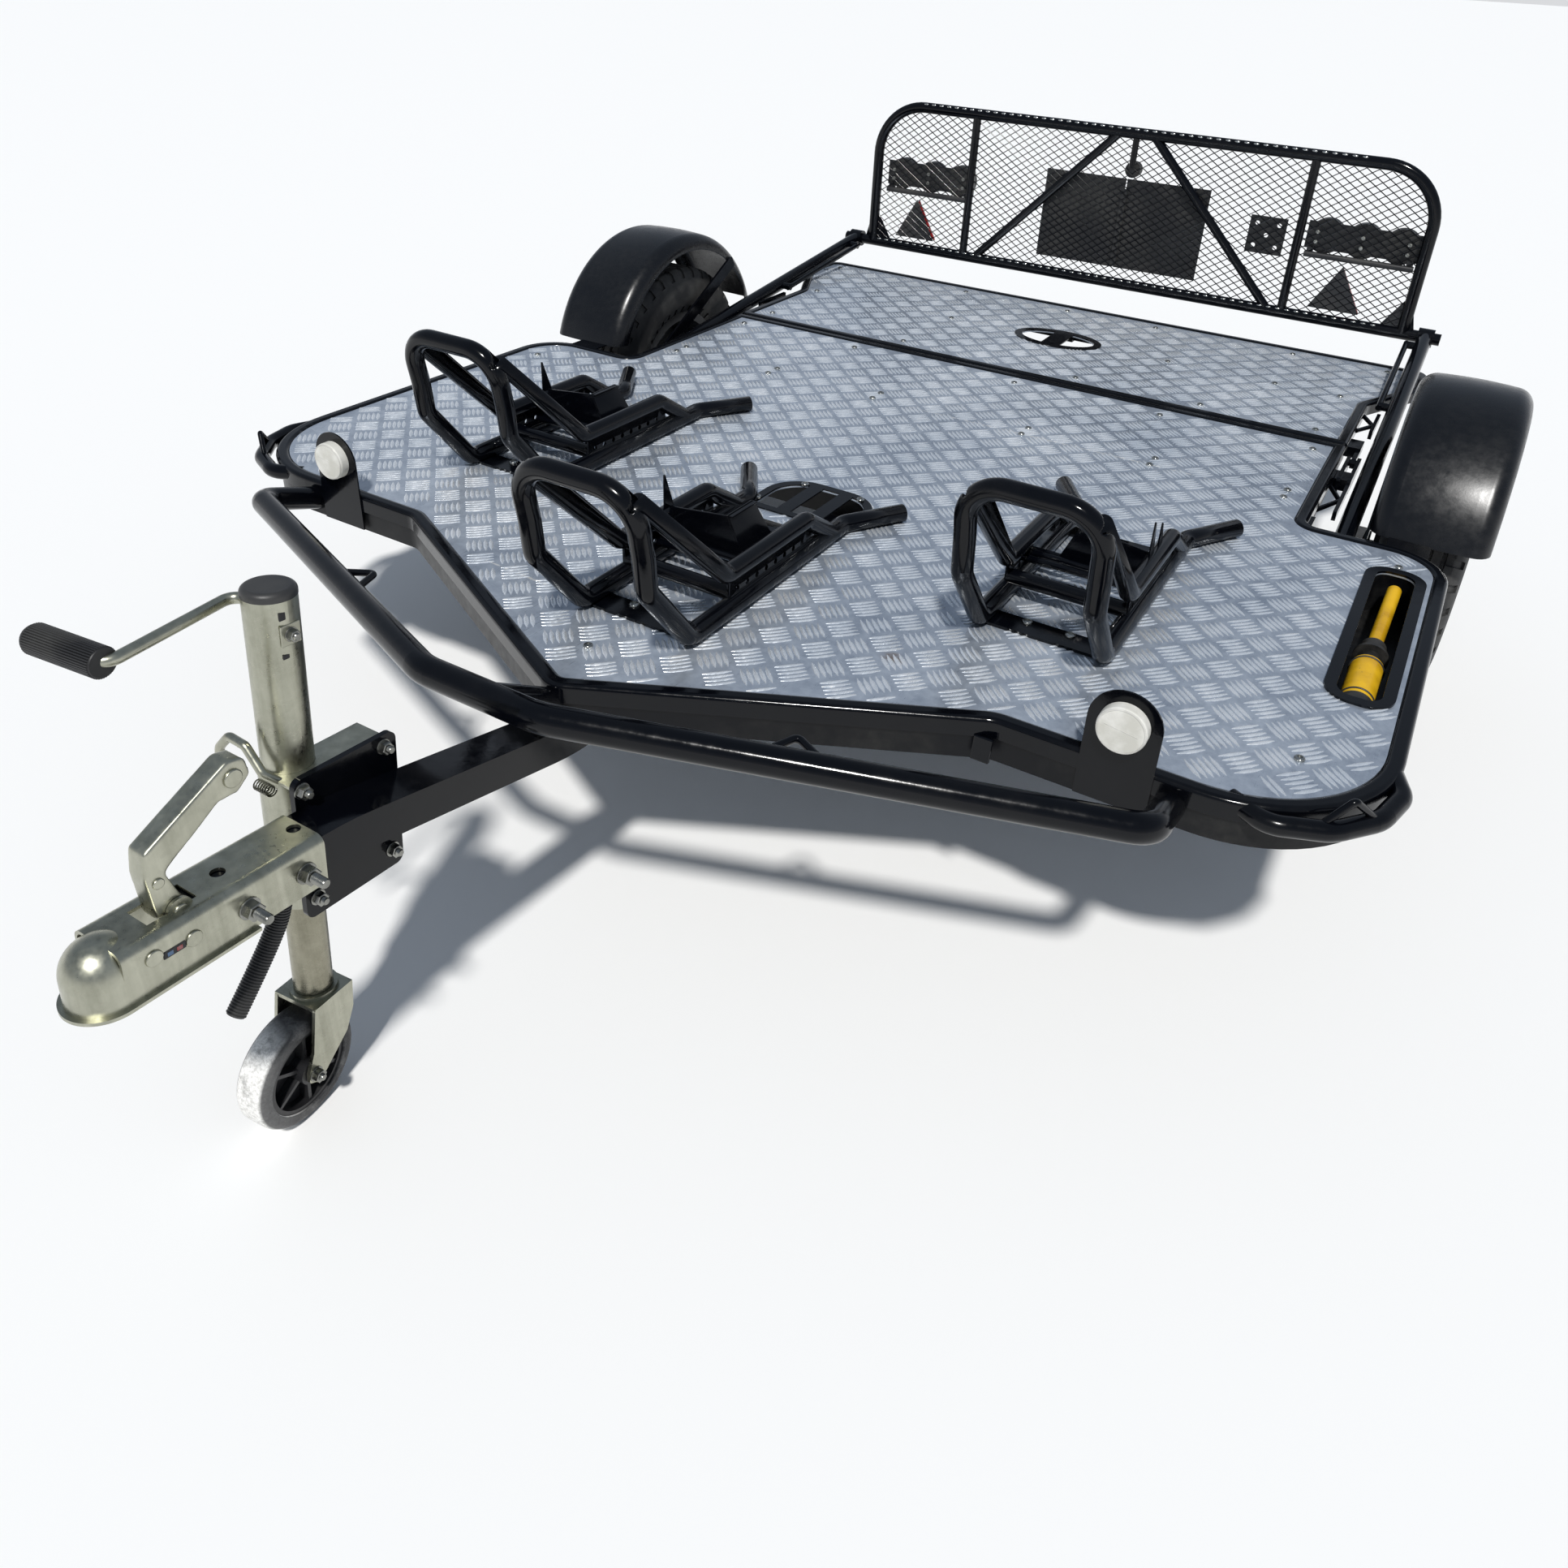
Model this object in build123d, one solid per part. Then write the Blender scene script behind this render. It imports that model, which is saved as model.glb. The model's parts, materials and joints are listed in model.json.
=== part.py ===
"""Folding motorcycle trailer: three wheel chocks on a chequer-plate deck, with a lamp gate on
swinging arms, a tilting rear panel, two road wheels and a winding jockey wheel.

Millimetres. X is across (+X is the pump side), Y is along the trailer (+Y to the rear, measured
from the wheel axle) and Z is height above the ground. Everything is moved lengthways at the end,
so that the origin is under the middle of the whole trailer.
"""

import math
import os

from build123d import *

# ---------------------------------------------------------------- driving dimensions
# deck
deck_top = 478.0
sheet = 3.0
deck_half_width = 803.0
wing_half_width = 1060.0
deck_rear = 90.0
recess_front = -404.0
deck_front = -1349.0
front_flat_half = 556.0
apex_front = -1626.0
trim_width = 25.0
trim_height = 30.0
trim_lip = 3.0
frame_width = 40.0
frame_height = 40.0
frame_inset = 5.0
seam_gap = 8.0

# rear panel
panel_straight_end = 420.0
panel_flare_end = 630.0
panel_rear = 803.0
panel_half_width = 903.0
panel_drop_deg = 36.0

# hinge between deck and panel
hinge_back = 20.0
hinge_drop = 42.0
hinge_plate = 8.0
hinge_tongue = 10.0
hinge_side_gap = 2.0
hinge_outset = 5.5
hinge_pin_radius = 8.0
conduit_y = -2066.0          # the lamp cable's hose under the drawbar
conduit_radius = 11.5
conduit_gland_radius = 15.0
conduit_gland_depth = 12.0
conduit_drop = 26.0
conduit_points = [(0.0, -2106.0, 378.0), (0.0, -2154.0, 328.0)]
pin_clearance = 0.05
shaft_clearance = 0.4

# running gear
wheel_x = 1010.0
tyre_radius = 298.0
tyre_width = 165.0
rim_radius = 178.0
beam_side = 60.0
beam_y = -246.0
arm_plate_x = 868.0
arm_plate_thick = 25.0
spindle_radius = 15.0
hub_radius = 42.0

# fenders
fender_inner_x = 905.0
fender_outer_x = 1120.0
fender_radius = 341.0
fender_centre_z = 352.0
fender_sheet = 2.5
fender_shoulder = 36.0
fender_skirt = 44.0
fender_start_deg = 18.0

# gate and its arms
gate_y = 892.0
gate_tube_radius = 15.5
gate_bottom_z = 546.0
gate_top_z = 966.0
gate_half_width = 808.0
gate_corner_radius = 147.0
gate_end_x = 903.0
gate_post_x = 488.0
arm_x = 866.0
arm_radius = 19.0
arm_pivot_y = -315.0
arm_pivot_z = 400.0
arm_pivot_pin = 10.0
arm_lift_deg = 75.0
gate_fold_deg = 80.0

# chocks
chock_tube_radius = 16.5
chock_half_width = 100.0
side_chock_x = 533.0
centre_foot_y = -1428.0
side_foot_y = -1118.0
chock_hoop_height = 290.0
chock_hoop_lean = 122.0
chock_knee = (-98.0, 136.0)
chock_valley = (96.0, 78.0)
chock_hump = (337.0, 77.0)
chock_rail_length = 474.0
chock_tip = (67.0, 580.0, 0.0)
stop_y = 164.0

# nose bar
nose_bar_radius = 21.0
nose_corner = (807.0, -1460.0, 482.0)
nose_middle = (100.0, -1750.0, 535.0)
rope_loop_x = 398.0
rope_loop_base = 90.0
rope_loop_reach = 50.0
corner_bar_radius = 14.0
corner_bar_z = 466.0

# drawbar and coupling; the coupling and the jack lean back together about one line
lean_deg = 4.4
lean_y = -2032.0
lean_z = 490.0
drawbar_width = 60.0
drawbar_height = 50.0
drawbar_front_y = -2175.0
drawbar_knee_y = -1996.0
drawbar_level_y = -1598.0
drawbar_bend = 400.0
coupling_half_width = 37.0
coupling_top = 515.0
coupling_depth = 62.0
coupling_wall = 4.0
coupling_lip = 5.0
coupling_rear_y = -2033.0
ball_y = -2267.0
ball_z = 471.0
ball_radius = 25.0
coupling_nose_radius = 37.0
ball_clearance = 0.4
handle_half_width = 14.0
handle_wall = 3.0
ear_y = -2192.0
ear_z = 512.0
ear_radius = 14.0

# jack
jack_x = -94.5
jack_y = -1973.0
jack_tube_radius = 30.0
jack_tube_bore = 26.0
jack_tube_low = 331.0
jack_tube_high = 750.0
inner_tube_radius = 24.5
slide_clearance = 0.08
crank_z = 732.6
crank_shaft = 54.7
crank_arm = 163.8
crank_drop = 12.4
crank_turn_deg = 6.6
crank_rod_radius = 7.0
grip_length = 104.0
grip_radius = 18.0
jack_lift = 105.0
jack_lower = 75.0
clamp_top = 530.0
clamp_depth = 84.0
clamp_sheet = 4.0
clamp_ring_radius = 34.5
clamp_front_y = -2008.0
clamp_rear_y = -1868.0
jack_plate_low = 350.0
jack_plate_high = 547.0

# jockey wheel
jockey_radius = 80.0
jockey_width = 48.0
jockey_shoulder = 12.0
castor_trail = 42.0
castor_turn_deg = 5.4
fork_top = 180.0
fork_plate = 6.0
fork_half_length = 32.0

plate_low = deck_top - sheet
trim_top = deck_top + trim_lip
trim_low = trim_top - trim_height
frame_low = trim_low - frame_height
hinge_y = deck_rear + hinge_back
hinge_z = deck_top - hinge_drop

nodes = {}
joint_points = {}


# ---------------------------------------------------------------- shared shapes
def block(x0, x1, y0, y1, z0, z1):
    """A box between two corners."""
    size = Box(x1 - x0, y1 - y0, z1 - z0)
    return Pos((x0 + x1) / 2, (y0 + y1) / 2, (z0 + z1) / 2) * size


def mirrored(shape):
    """The same shape on the other side of the centre plane."""
    return mirror(shape, about=Plane.YZ)


def both_sides(shape):
    """A shape and its mirror image, as one compound."""
    return shape + mirrored(shape)


def run(points, bend):
    """Straight runs through the points, joined by bends."""
    if len(points) == 2:
        return Line(*points)
    return FilletPolyline(*points, radius=bend)


def rod(points, radius, bend=30.0):
    """A round bar bent along the points."""
    path = run(points, bend)
    return sweep(Plane(path @ 0, z_dir=path % 0) * Circle(radius), path=path)


def cross_pin(y, z, x0, x1, radius):
    """A cylinder lying across the trailer."""
    length = x1 - x0
    return Pos((x0 + x1) / 2, y, z) * Rot(0, 90, 0) * Cylinder(radius, length)


def long_pin(x, z, y0, y1, radius):
    """A cylinder lying along the trailer."""
    return Pos(x, (y0 + y1) / 2, z) * Rot(90, 0, 0) * Cylinder(radius, y1 - y0)


def post(x, y, z0, z1, radius):
    """An upright cylinder."""
    return Pos(x, y, (z0 + z1) / 2) * Cylinder(radius, z1 - z0)


def slab(face, z0, z1):
    """A flat outline given a thickness."""
    return extrude(Pos(0, 0, z0) * face, z1 - z0)


def ring(outer, width):
    """The band just inside an outline."""
    return outer - offset(outer, amount=-width)


def side_plate(points, x0, x1, corner=0.0):
    """An upright plate across X, from its outline in Y and Z."""
    outline = [(x0, y, z) for y, z in points]
    if corner:
        face = make_face(FilletPolyline(*outline, radius=corner, close=True))
    else:
        face = make_face(Polyline(*outline, close=True))
    return extrude(face, amount=x1 - x0, dir=(1, 0, 0))


def lean(shape):
    """A front piece drawn upright, turned back to the angle that it sits at."""
    return shape.rotate(Axis((0, lean_y, lean_z), (1, 0, 0)), -lean_deg)


def lean_direction(x, y, z):
    """A direction turned back in the same way."""
    c = math.cos(math.radians(lean_deg))
    s = math.sin(math.radians(lean_deg))
    return (x, y * c + z * s, z * c - y * s)


def lean_point(x, y, z):
    """A point turned back in the same way."""
    dx, dy, dz = lean_direction(x, y - lean_y, z - lean_z)
    return (dx, dy + lean_y, dz + lean_z)


# ---------------------------------------------------------------- deck
def deck_outline():
    """The deck seen from above: narrow rear, wings ahead of the wheels, pointed nose."""
    right = [
        ((deck_half_width, deck_rear), 8),
        ((deck_half_width, recess_front), 22),
        ((wing_half_width, recess_front), 105),
        ((wing_half_width, deck_front), 230),
        ((front_flat_half, deck_front), 40),
    ]
    left = [((-x, y), radius) for (x, y), radius in reversed(right)]
    corners = right + [((0, apex_front), 45)] + left
    points = [point for point, _ in corners]
    return make_face(FilletPolyline(*points, radius=[r for _, r in corners], close=True))


def panel_outline():
    """The rear panel seen from above, flared out behind the wheels."""
    front = deck_rear + seam_gap
    right = [
        ((deck_half_width, front), 8),
        ((deck_half_width, panel_straight_end), 60),
        ((panel_half_width, panel_flare_end), 60),
        ((panel_half_width, panel_rear), 40),
    ]
    left = [((-x, y), radius) for (x, y), radius in reversed(right)]
    corners = right + left
    points = [point for point, _ in corners]
    return make_face(FilletPolyline(*points, radius=[r for _, r in corners], close=True))


def edge_trim(outline):
    """The rounded tube round a plate's edge."""
    body = slab(ring(outline, trim_width), trim_low, trim_top)
    return fillet(body.edges().group_by(Axis.Z)[-1], 8)


pump_x = 978.0
pump_front = -1013.0
pump_rear = -509.0
pump_trim_width = 18.0
pump_opening_width = 64.0


def pump_slot(grow):
    """The rounded opening over the pump, grown by a border."""
    length = pump_rear - pump_front - 2 * pump_trim_width
    middle = (pump_front + pump_rear) / 2
    shape = RectangleRounded(pump_opening_width + 2 * grow, length + 2 * grow, 24 + grow)
    return Pos(pump_x, middle) * shape


vent_half_width = 94.0
vent_front = -940.0
vent_rear = -814.0
vent_trim_width = 16.0


def vent_slot(grow):
    """The rounded opening behind the centre chock, grown by a border."""
    low = vent_front - grow
    high = vent_rear + grow
    wide = vent_half_width + grow
    corners = [(wide, low), (wide, high), (-wide, high), (-wide, low)]
    return make_face(FilletPolyline(*corners, radius=[8 + grow, 62 + grow, 62 + grow, 8 + grow], close=True))


oval_y = 446.0
oval_half_width = 121.0
oval_half_length = 79.0
oval_band = 20.0


def oval(shrink):
    """The oval opening in the rear panel, less a border."""
    return Pos(0, oval_y) * Ellipse(oval_half_width - shrink, oval_half_length - shrink)


def cross_members(outline, places, height, low):
    """Square tubes across a plate, cut to its outline."""
    inside = slab(offset(outline, amount=-trim_width), low, low + height)
    bars = [block(-1200, 1200, y - 15, y + 15, low, low + height) for y in places]
    return [inside & bar for bar in bars]


def make_deck():
    """The deck's plate, edge trim and frame."""
    outline = deck_outline()
    plate = slab(offset(outline, amount=-trim_width), plate_low, deck_top)
    plate -= slab(pump_slot(0), plate_low - 1, deck_top + 1)
    plate -= slab(vent_slot(0), plate_low - 1, deck_top + 1)
    nodes["deck_plate"] = plate
    nodes["deck_trim"] = edge_trim(outline)

    inset = offset(outline, amount=-frame_inset)
    frame = slab(ring(inset, frame_width), frame_low, trim_low)
    places = [deck_rear - 60, -190, recess_front - 60, -760, -1010, -1220, deck_front - 30]
    for bar in cross_members(outline, places, plate_low - frame_low, frame_low):
        frame += bar
    for x in (-side_chock_x, side_chock_x):
        frame += block(x - 15, x + 15, deck_front + 60, deck_rear - 60, frame_low, plate_low)
    frame -= slab(pump_slot(12), frame_low - 1, plate_low + 1)
    frame -= slab(vent_slot(0), frame_low - 1, plate_low + 1)
    nodes["deck_frame"] = frame - nodes["deck_trim"]


def make_opening_trims():
    """Raised bands round the pump's opening and the vent, and the vent's two bars."""
    pump_band = slab(pump_slot(pump_trim_width) - pump_slot(0), deck_top, deck_top + 4)
    vent_band = slab(vent_slot(vent_trim_width) - vent_slot(0), deck_top, deck_top + 3)
    for x in (-32, 32):
        vent_band += block(x - 14, x + 14, vent_front - 4, vent_rear + 4, deck_top, deck_top + 3)
    nodes["opening_trims"] = pump_band + vent_band


def make_pump():
    """The hand pump in its tray under the deck."""
    wall = 2.0
    low = frame_low - 10
    outer = slab(pump_slot(wall + 2), low, plate_low)
    inner = slab(pump_slot(2), low + wall, plate_low + 1)
    nodes["pump_tray"] = (outer - inner) - nodes["deck_frame"] - nodes["deck_trim"]

    axis_z = deck_top - 32
    front = pump_front + pump_trim_width + 14
    body_radius = 25.0
    body_end = front + 150
    block_end = body_end + 70
    cradle_low = low + wall
    cylinder = long_pin(pump_x, axis_z, front + 22, body_end, body_radius)
    nodes["pump_cylinder"] = fillet(cylinder.edges(), 3)
    fittings = long_pin(pump_x, axis_z, front, front + 22, body_radius + 1.5)
    fittings += long_pin(pump_x, axis_z, body_end, block_end, 20)
    fittings += block(pump_x - 16, pump_x + 16, body_end, block_end, cradle_low, axis_z)
    fittings += block(pump_x - 16, pump_x + 16, front, front + 22, cradle_low, axis_z)
    fittings += long_pin(pump_x, axis_z + 3, body_end + 24, body_end + 32, 27)
    nodes["pump_block"] = fittings
    lever = rod(
        [(pump_x, block_end, axis_z), (pump_x + 4, pump_rear - pump_trim_width - 20, axis_z + 10)], 12
    )
    nodes["pump_cylinder"] += lever - fittings


def make_panel():
    """The rear panel: plate, trim with the oval band, and light cross members."""
    outline = panel_outline()
    plate = slab(offset(outline, amount=-trim_width), plate_low, deck_top)
    plate -= slab(oval(oval_band), plate_low - 1, deck_top + 1)
    nodes["panel_plate"] = plate
    nodes["panel_trim"] = edge_trim(outline)
    band = oval(0) - oval(oval_band)
    band += Pos(0, oval_y) * Rectangle(52, 2 * (oval_half_length - 2))
    nodes["panel_oval"] = slab(band, deck_top, deck_top + 3)

    front = deck_rear + seam_gap
    places = [front + trim_width + 15, 300, 570, panel_rear - trim_width - 15]
    height = plate_low - trim_low
    frame = block(-15, 15, front + trim_width, panel_rear - trim_width, trim_low, plate_low)
    frame -= slab(oval(-10), trim_low - 1, plate_low + 1)
    for bar in cross_members(outline, places, height, trim_low):
        frame += bar
    for x in (-400, 400):
        frame += block(x - 15, x + 15, front + trim_width, panel_rear - trim_width, trim_low, plate_low)
    nodes["panel_frame"] = frame


# ---------------------------------------------------------------- panel hinges
def hinge_places():
    """Where the clevis plates and the tongue lie across the trailer, on the right."""
    inner = deck_half_width + hinge_outset
    tongue = inner + hinge_plate + hinge_side_gap
    outer = tongue + hinge_tongue + hinge_side_gap
    return inner, tongue, outer


def make_panel_hinges():
    """Clevises on the deck's frame, and the panel's tongues that swing in them."""
    inner, tongue, outer = hinge_places()
    end = 14.0
    front = -36.0
    profile = [(front, frame_low + 4), (hinge_y + end, frame_low + 6), (hinge_y + end, hinge_z + 12)]
    profile += [(front, hinge_z + 12)]
    clevis = side_plate(profile, inner, inner + hinge_plate, 8)
    clevis += side_plate(profile, outer, outer + hinge_plate, 8)
    deck_side = deck_half_width - frame_inset
    clevis += block(deck_side, outer, front + 6, front + 60, frame_low + 8, hinge_z + 8)
    clevis += cross_pin(hinge_y, hinge_z, inner, outer + hinge_plate, hinge_pin_radius)
    nodes["deck_hinges"] = both_sides(clevis)

    pad_front = 170.0
    pad_rear = 230.0
    pad_low = trim_low - 24
    bar = block(tongue, tongue + hinge_tongue, hinge_y, pad_rear, pad_low, hinge_z + 10)
    bar += cross_pin(hinge_y, hinge_z, tongue, tongue + hinge_tongue, 12.5)
    bar += block(deck_half_width - 18, tongue + hinge_tongue, pad_front, pad_rear, pad_low, trim_low)
    bar -= cross_pin(hinge_y, hinge_z, tongue - 1, outer, hinge_pin_radius + pin_clearance)
    nodes["panel_hinges"] = both_sides(bar)
    joint_points["rear_panel"] = (0, hinge_y, hinge_z)


def truss(y0, y1, z, x0, x1):
    """A side rail stood off an edge by V struts."""
    rail = block(x1, x1 + 8, y0, y1, z - 10, z + 10)
    middle = (y0 + y1) / 2
    for start in (y0 + 10, y1 - 10):
        rail += rod([(x0, start, z), (x1 + 1, middle, z)], 5)
    return rail


def make_trusses():
    """The braced rails in the wheel recess, on the deck and on the panel."""
    inner, tongue, outer = hinge_places()
    rail_x = outer
    deck_side = deck_half_width - frame_inset
    deck_rail = truss(-210, -30, trim_low - 20, deck_side, rail_x)
    nodes["deck_hinges"] = (nodes["deck_hinges"] + both_sides(deck_rail)) - nodes["deck_frame"]
    panel_rail = truss(245, 385, trim_low + 12, deck_half_width, rail_x)
    nodes["panel_trusses"] = both_sides(panel_rail) - nodes["panel_trim"] - nodes["panel_hinges"]


# ---------------------------------------------------------------- running gear
def make_axle():
    """The cross beam under the deck, its mounting pads and the trailing arms with spindles."""
    top = frame_low - drawbar_height
    z = top - beam_side / 2
    reach = arm_plate_x
    beam = block(-reach, reach, beam_y - 30, beam_y + 30, top - beam_side, top)
    for x in (-700, 700):
        beam += block(x - 60, x + 60, beam_y - 60, beam_y + 60, top, frame_low)
    beam += block(-760, 760, beam_y - 60, beam_y + 60, top, top + 6)
    beam -= block(-drawbar_width / 2, drawbar_width / 2, beam_y - 90, beam_y + 90, top, frame_low)
    nodes["axle_beam"] = beam

    z_hub = tyre_radius
    x0 = arm_plate_x
    x1 = x0 + arm_plate_thick
    plate = side_plate(
        [(beam_y - 34, z + 34), (beam_y + 34, z + 34), (34, z_hub + 30), (34, z_hub - 30),
         (beam_y - 34, z - 34)],
        x0, x1, 12,
    )
    arm = plate + cross_pin(0, z_hub, x1, x1 + 12, 34)
    arm += cross_pin(0, z_hub, x1 + 12, wheel_x + 36, spindle_radius)
    nodes["swing_arms"] = both_sides(arm)


def wheel_profile(points, corner):
    """A closed outline in X and radius, set at the wheel's axle, spun about it."""
    outline = [(wheel_x + x, 0, tyre_radius + r) for x, r in points]
    if corner:
        face = make_face(FilletPolyline(*outline, radius=corner, close=True))
    else:
        face = make_face(Polyline(*outline, close=True))
    axle = Axis((wheel_x, 0, tyre_radius), (1, 0, 0))
    return revolve(face, axis=axle, revolution_arc=360)


def make_wheels():
    """Road wheels: a tyre on a pressed steel rim with its hub."""
    half = tyre_width / 2
    bead = 62.0
    tyre = wheel_profile(
        [
            (-bead, rim_radius - 16), (-half, rim_radius + 42), (-half + 6, tyre_radius - 26),
            (-half + 24, tyre_radius - 1), (0, tyre_radius), (half - 24, tyre_radius - 1),
            (half - 6, tyre_radius - 26), (half, rim_radius + 42), (bead, rim_radius - 16),
        ],
        [3, 40, 30, 18, 400, 18, 30, 40, 3],
    )

    well = rim_radius - 17
    barrel = wheel_profile(
        [
            (-64, rim_radius - 16), (-64, rim_radius), (-70, rim_radius), (-70, well - 6),
            (-30, well - 34), (30, well - 34), (70, well - 6), (70, rim_radius),
            (64, rim_radius), (64, rim_radius - 16), (60, well), (28, well - 28),
            (-28, well - 28), (-60, well),
        ],
        0,
    )
    disc = wheel_profile([(14, well - 30), (20, well - 30), (38, 60), (38, 20), (32, 20), (32, 60)], 0)
    rim = barrel + disc
    rim += cross_pin(0, tyre_radius, wheel_x - 96, wheel_x + 32.5, hub_radius)
    rim += cross_pin(0, tyre_radius, wheel_x + 32.5, wheel_x + 62, 30)
    for k in range(8):
        turn = math.radians(45 * k + 22.5)
        y = 96 * math.cos(turn)
        z = tyre_radius + 96 * math.sin(turn)
        rim -= cross_pin(y, z, wheel_x + 5, wheel_x + 60, 14)
    rim -= cross_pin(0, tyre_radius, wheel_x - 100, wheel_x + 38, spindle_radius + pin_clearance)
    nodes["right_rim"] = rim
    tyre -= rim
    nodes["right_tyre"] = tyre
    nodes["left_tyre"] = mirrored(tyre)
    nodes["left_rim"] = mirrored(rim)
    joint_points["right_wheel"] = (wheel_x, 0, tyre_radius)
    joint_points["left_wheel"] = (-wheel_x, 0, tyre_radius)


def fender_solid(grow, outer_x, inner_x):
    """The fender's arched section, spun over the wheel."""
    radius = fender_radius + grow
    low = fender_radius - fender_skirt
    outline = [
        (inner_x, 0, fender_centre_z + low), (inner_x, 0, fender_centre_z + radius - 7),
        ((inner_x + outer_x) / 2, 0, fender_centre_z + radius),
        (outer_x, 0, fender_centre_z + radius - 7), (outer_x, 0, fender_centre_z + low),
    ]
    shoulder = fender_shoulder + grow
    face = make_face(FilletPolyline(*outline, radius=[0, shoulder, 900, shoulder, 0], close=True))
    axle = Axis((0, 0, fender_centre_z), (1, 0, 0))
    return revolve(face, axis=axle, revolution_arc=360)


def make_fenders():
    """Pressed steel fenders over the wheels, with a flange to the deck and a flat stay each."""
    outer = fender_solid(0, fender_outer_x, fender_inner_x)
    inner = fender_solid(-fender_sheet, fender_outer_x - fender_sheet, fender_inner_x + fender_sheet)
    cutter = cross_pin(
        0, fender_centre_z, fender_inner_x - 20, fender_outer_x + 20, fender_radius - fender_skirt + 0.5
    )
    start = math.radians(fender_start_deg)
    floor_z = fender_centre_z + fender_radius * math.sin(start)
    shell = outer - inner - cutter
    shell -= block(fender_inner_x - 20, fender_outer_x + 20, -500, 500, 0, floor_z)
    flange_x0 = fender_inner_x + 40
    face_y = -fender_radius * math.cos(start)
    flange = block(flange_x0, wing_half_width - 40, recess_front, face_y + 4, floor_z, floor_z + 3)
    fender = shell + (flange - outer) + (flange & shell)
    nodes["right_fender"] = fender
    nodes["left_fender"] = mirrored(fender)

    stay_x1 = fender_inner_x
    stay_x0 = stay_x1 - 6
    top_turn = math.radians(50)
    seat = fender_radius - 30
    top = (seat * math.cos(top_turn), fender_centre_z + seat * math.sin(top_turn))
    foot = (beam_y + 20, frame_low - drawbar_height - 12)
    dy = top[0] - foot[0]
    dz = top[1] - foot[1]
    length = math.hypot(dy, dz)
    ny = -dz / length * 17
    nz = dy / length * 17
    points = [
        (foot[0] - ny, foot[1] - nz), (top[0] - ny, top[1] - nz),
        (top[0] + ny, top[1] + nz), (foot[0] + ny, foot[1] + nz),
    ]
    stay = side_plate(points, stay_x0, stay_x1, 8)
    lug_y = beam_y
    stay += block(arm_plate_x + arm_plate_thick, stay_x0, lug_y - 20, lug_y + 40, foot[1] - 14, foot[1] + 8)
    nodes["fender_stays"] = both_sides(stay)


# ---------------------------------------------------------------- gate and its arms
def make_gate_arms():
    """Two long arms, pivoted low in the wheel recess, that carry the lamp gate."""
    pivot = (arm_x, arm_pivot_y, arm_pivot_z)
    eye = (arm_x, gate_y, gate_bottom_z)
    arm = rod([pivot, eye], arm_radius)
    arm += cross_pin(arm_pivot_y, arm_pivot_z, arm_x - 20, arm_x + 20, 24)
    arm += cross_pin(gate_y, gate_bottom_z, arm_x - 20, arm_x + 20, 24)
    arm -= cross_pin(arm_pivot_y, arm_pivot_z, arm_x - 30, arm_x + 30, arm_pivot_pin + pin_clearance)
    arm -= cross_pin(gate_y, gate_bottom_z, arm_x - 30, arm_x + 30, gate_tube_radius + pin_clearance)

    slope = (gate_bottom_z - arm_pivot_z) / (gate_y - arm_pivot_y)
    rod_x = 828.0

    def on_arm(y):
        return arm_pivot_z + slope * (y - arm_pivot_y)

    start = 390.0
    finish = gate_y - 60
    arm += rod([(rod_x, start, on_arm(start)), (rod_x, finish, on_arm(finish))], 7)
    for y in (start + 12, finish - 12):
        arm += cross_pin(y, on_arm(y), rod_x - 4, arm_x, 10)
    nodes["gate_arms"] = both_sides(arm)

    deck_side = deck_half_width - frame_inset
    profile = [
        (arm_pivot_y - 34, trim_low), (arm_pivot_y + 34, trim_low),
        (arm_pivot_y + 18, arm_pivot_z - 22), (arm_pivot_y - 18, arm_pivot_z - 22),
    ]
    bracket = side_plate(profile, deck_side, deck_side + 10, 6)
    bracket += cross_pin(arm_pivot_y, arm_pivot_z, deck_side + 10, arm_x - 26, 16)
    bracket += cross_pin(arm_pivot_y, arm_pivot_z, deck_side + 10, arm_x + 24, arm_pivot_pin)
    bracket += cross_pin(arm_pivot_y, arm_pivot_z, arm_x + 21, arm_x + 27, 15)
    nodes["arm_brackets"] = both_sides(bracket)
    joint_points["gate_arms"] = (0, arm_pivot_y, arm_pivot_z)
    joint_points["gate"] = (0, gate_y, gate_bottom_z)


def gate_rod(points, radius=gate_tube_radius, bend=30.0):
    """A tube in the plane of the gate, from points in X and Z."""
    return rod([(x, gate_y, z) for x, z in points], radius, bend)


def make_gate_frame():
    """The gate's tubes: hoop, bottom tube, posts, the A-frame in the middle and the gussets."""
    hoop = gate_rod(
        [
            (-gate_half_width, gate_bottom_z), (-gate_half_width, gate_top_z),
            (gate_half_width, gate_top_z), (gate_half_width, gate_bottom_z),
        ],
        bend=gate_corner_radius,
    )
    frame = hoop + cross_pin(gate_y, gate_bottom_z, -gate_end_x, gate_end_x, gate_tube_radius)
    for side in (-1, 1):
        frame += gate_rod([(side * gate_post_x, gate_bottom_z), (side * gate_post_x, gate_top_z)], 12)
        frame += gate_rod([(side * 452, gate_bottom_z), (side * 47, gate_top_z)], 12)
        x0 = side * (gate_half_width - 70)
        x1 = side * (gate_end_x - 26 - 20 - 20)
        gusset = make_face(
            Polyline(
                (x0, gate_y + 2, gate_bottom_z), (x1, gate_y + 2, gate_bottom_z),
                (side * gate_half_width, gate_y + 2, gate_bottom_z + 112), close=True,
            )
        )
        frame += extrude(gusset, amount=4, dir=(0, -1, 0))
    frame += gate_rod([(0, gate_top_z), (0, gate_top_z - 95)], 9)
    nodes["gate_frame"] = frame


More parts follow.
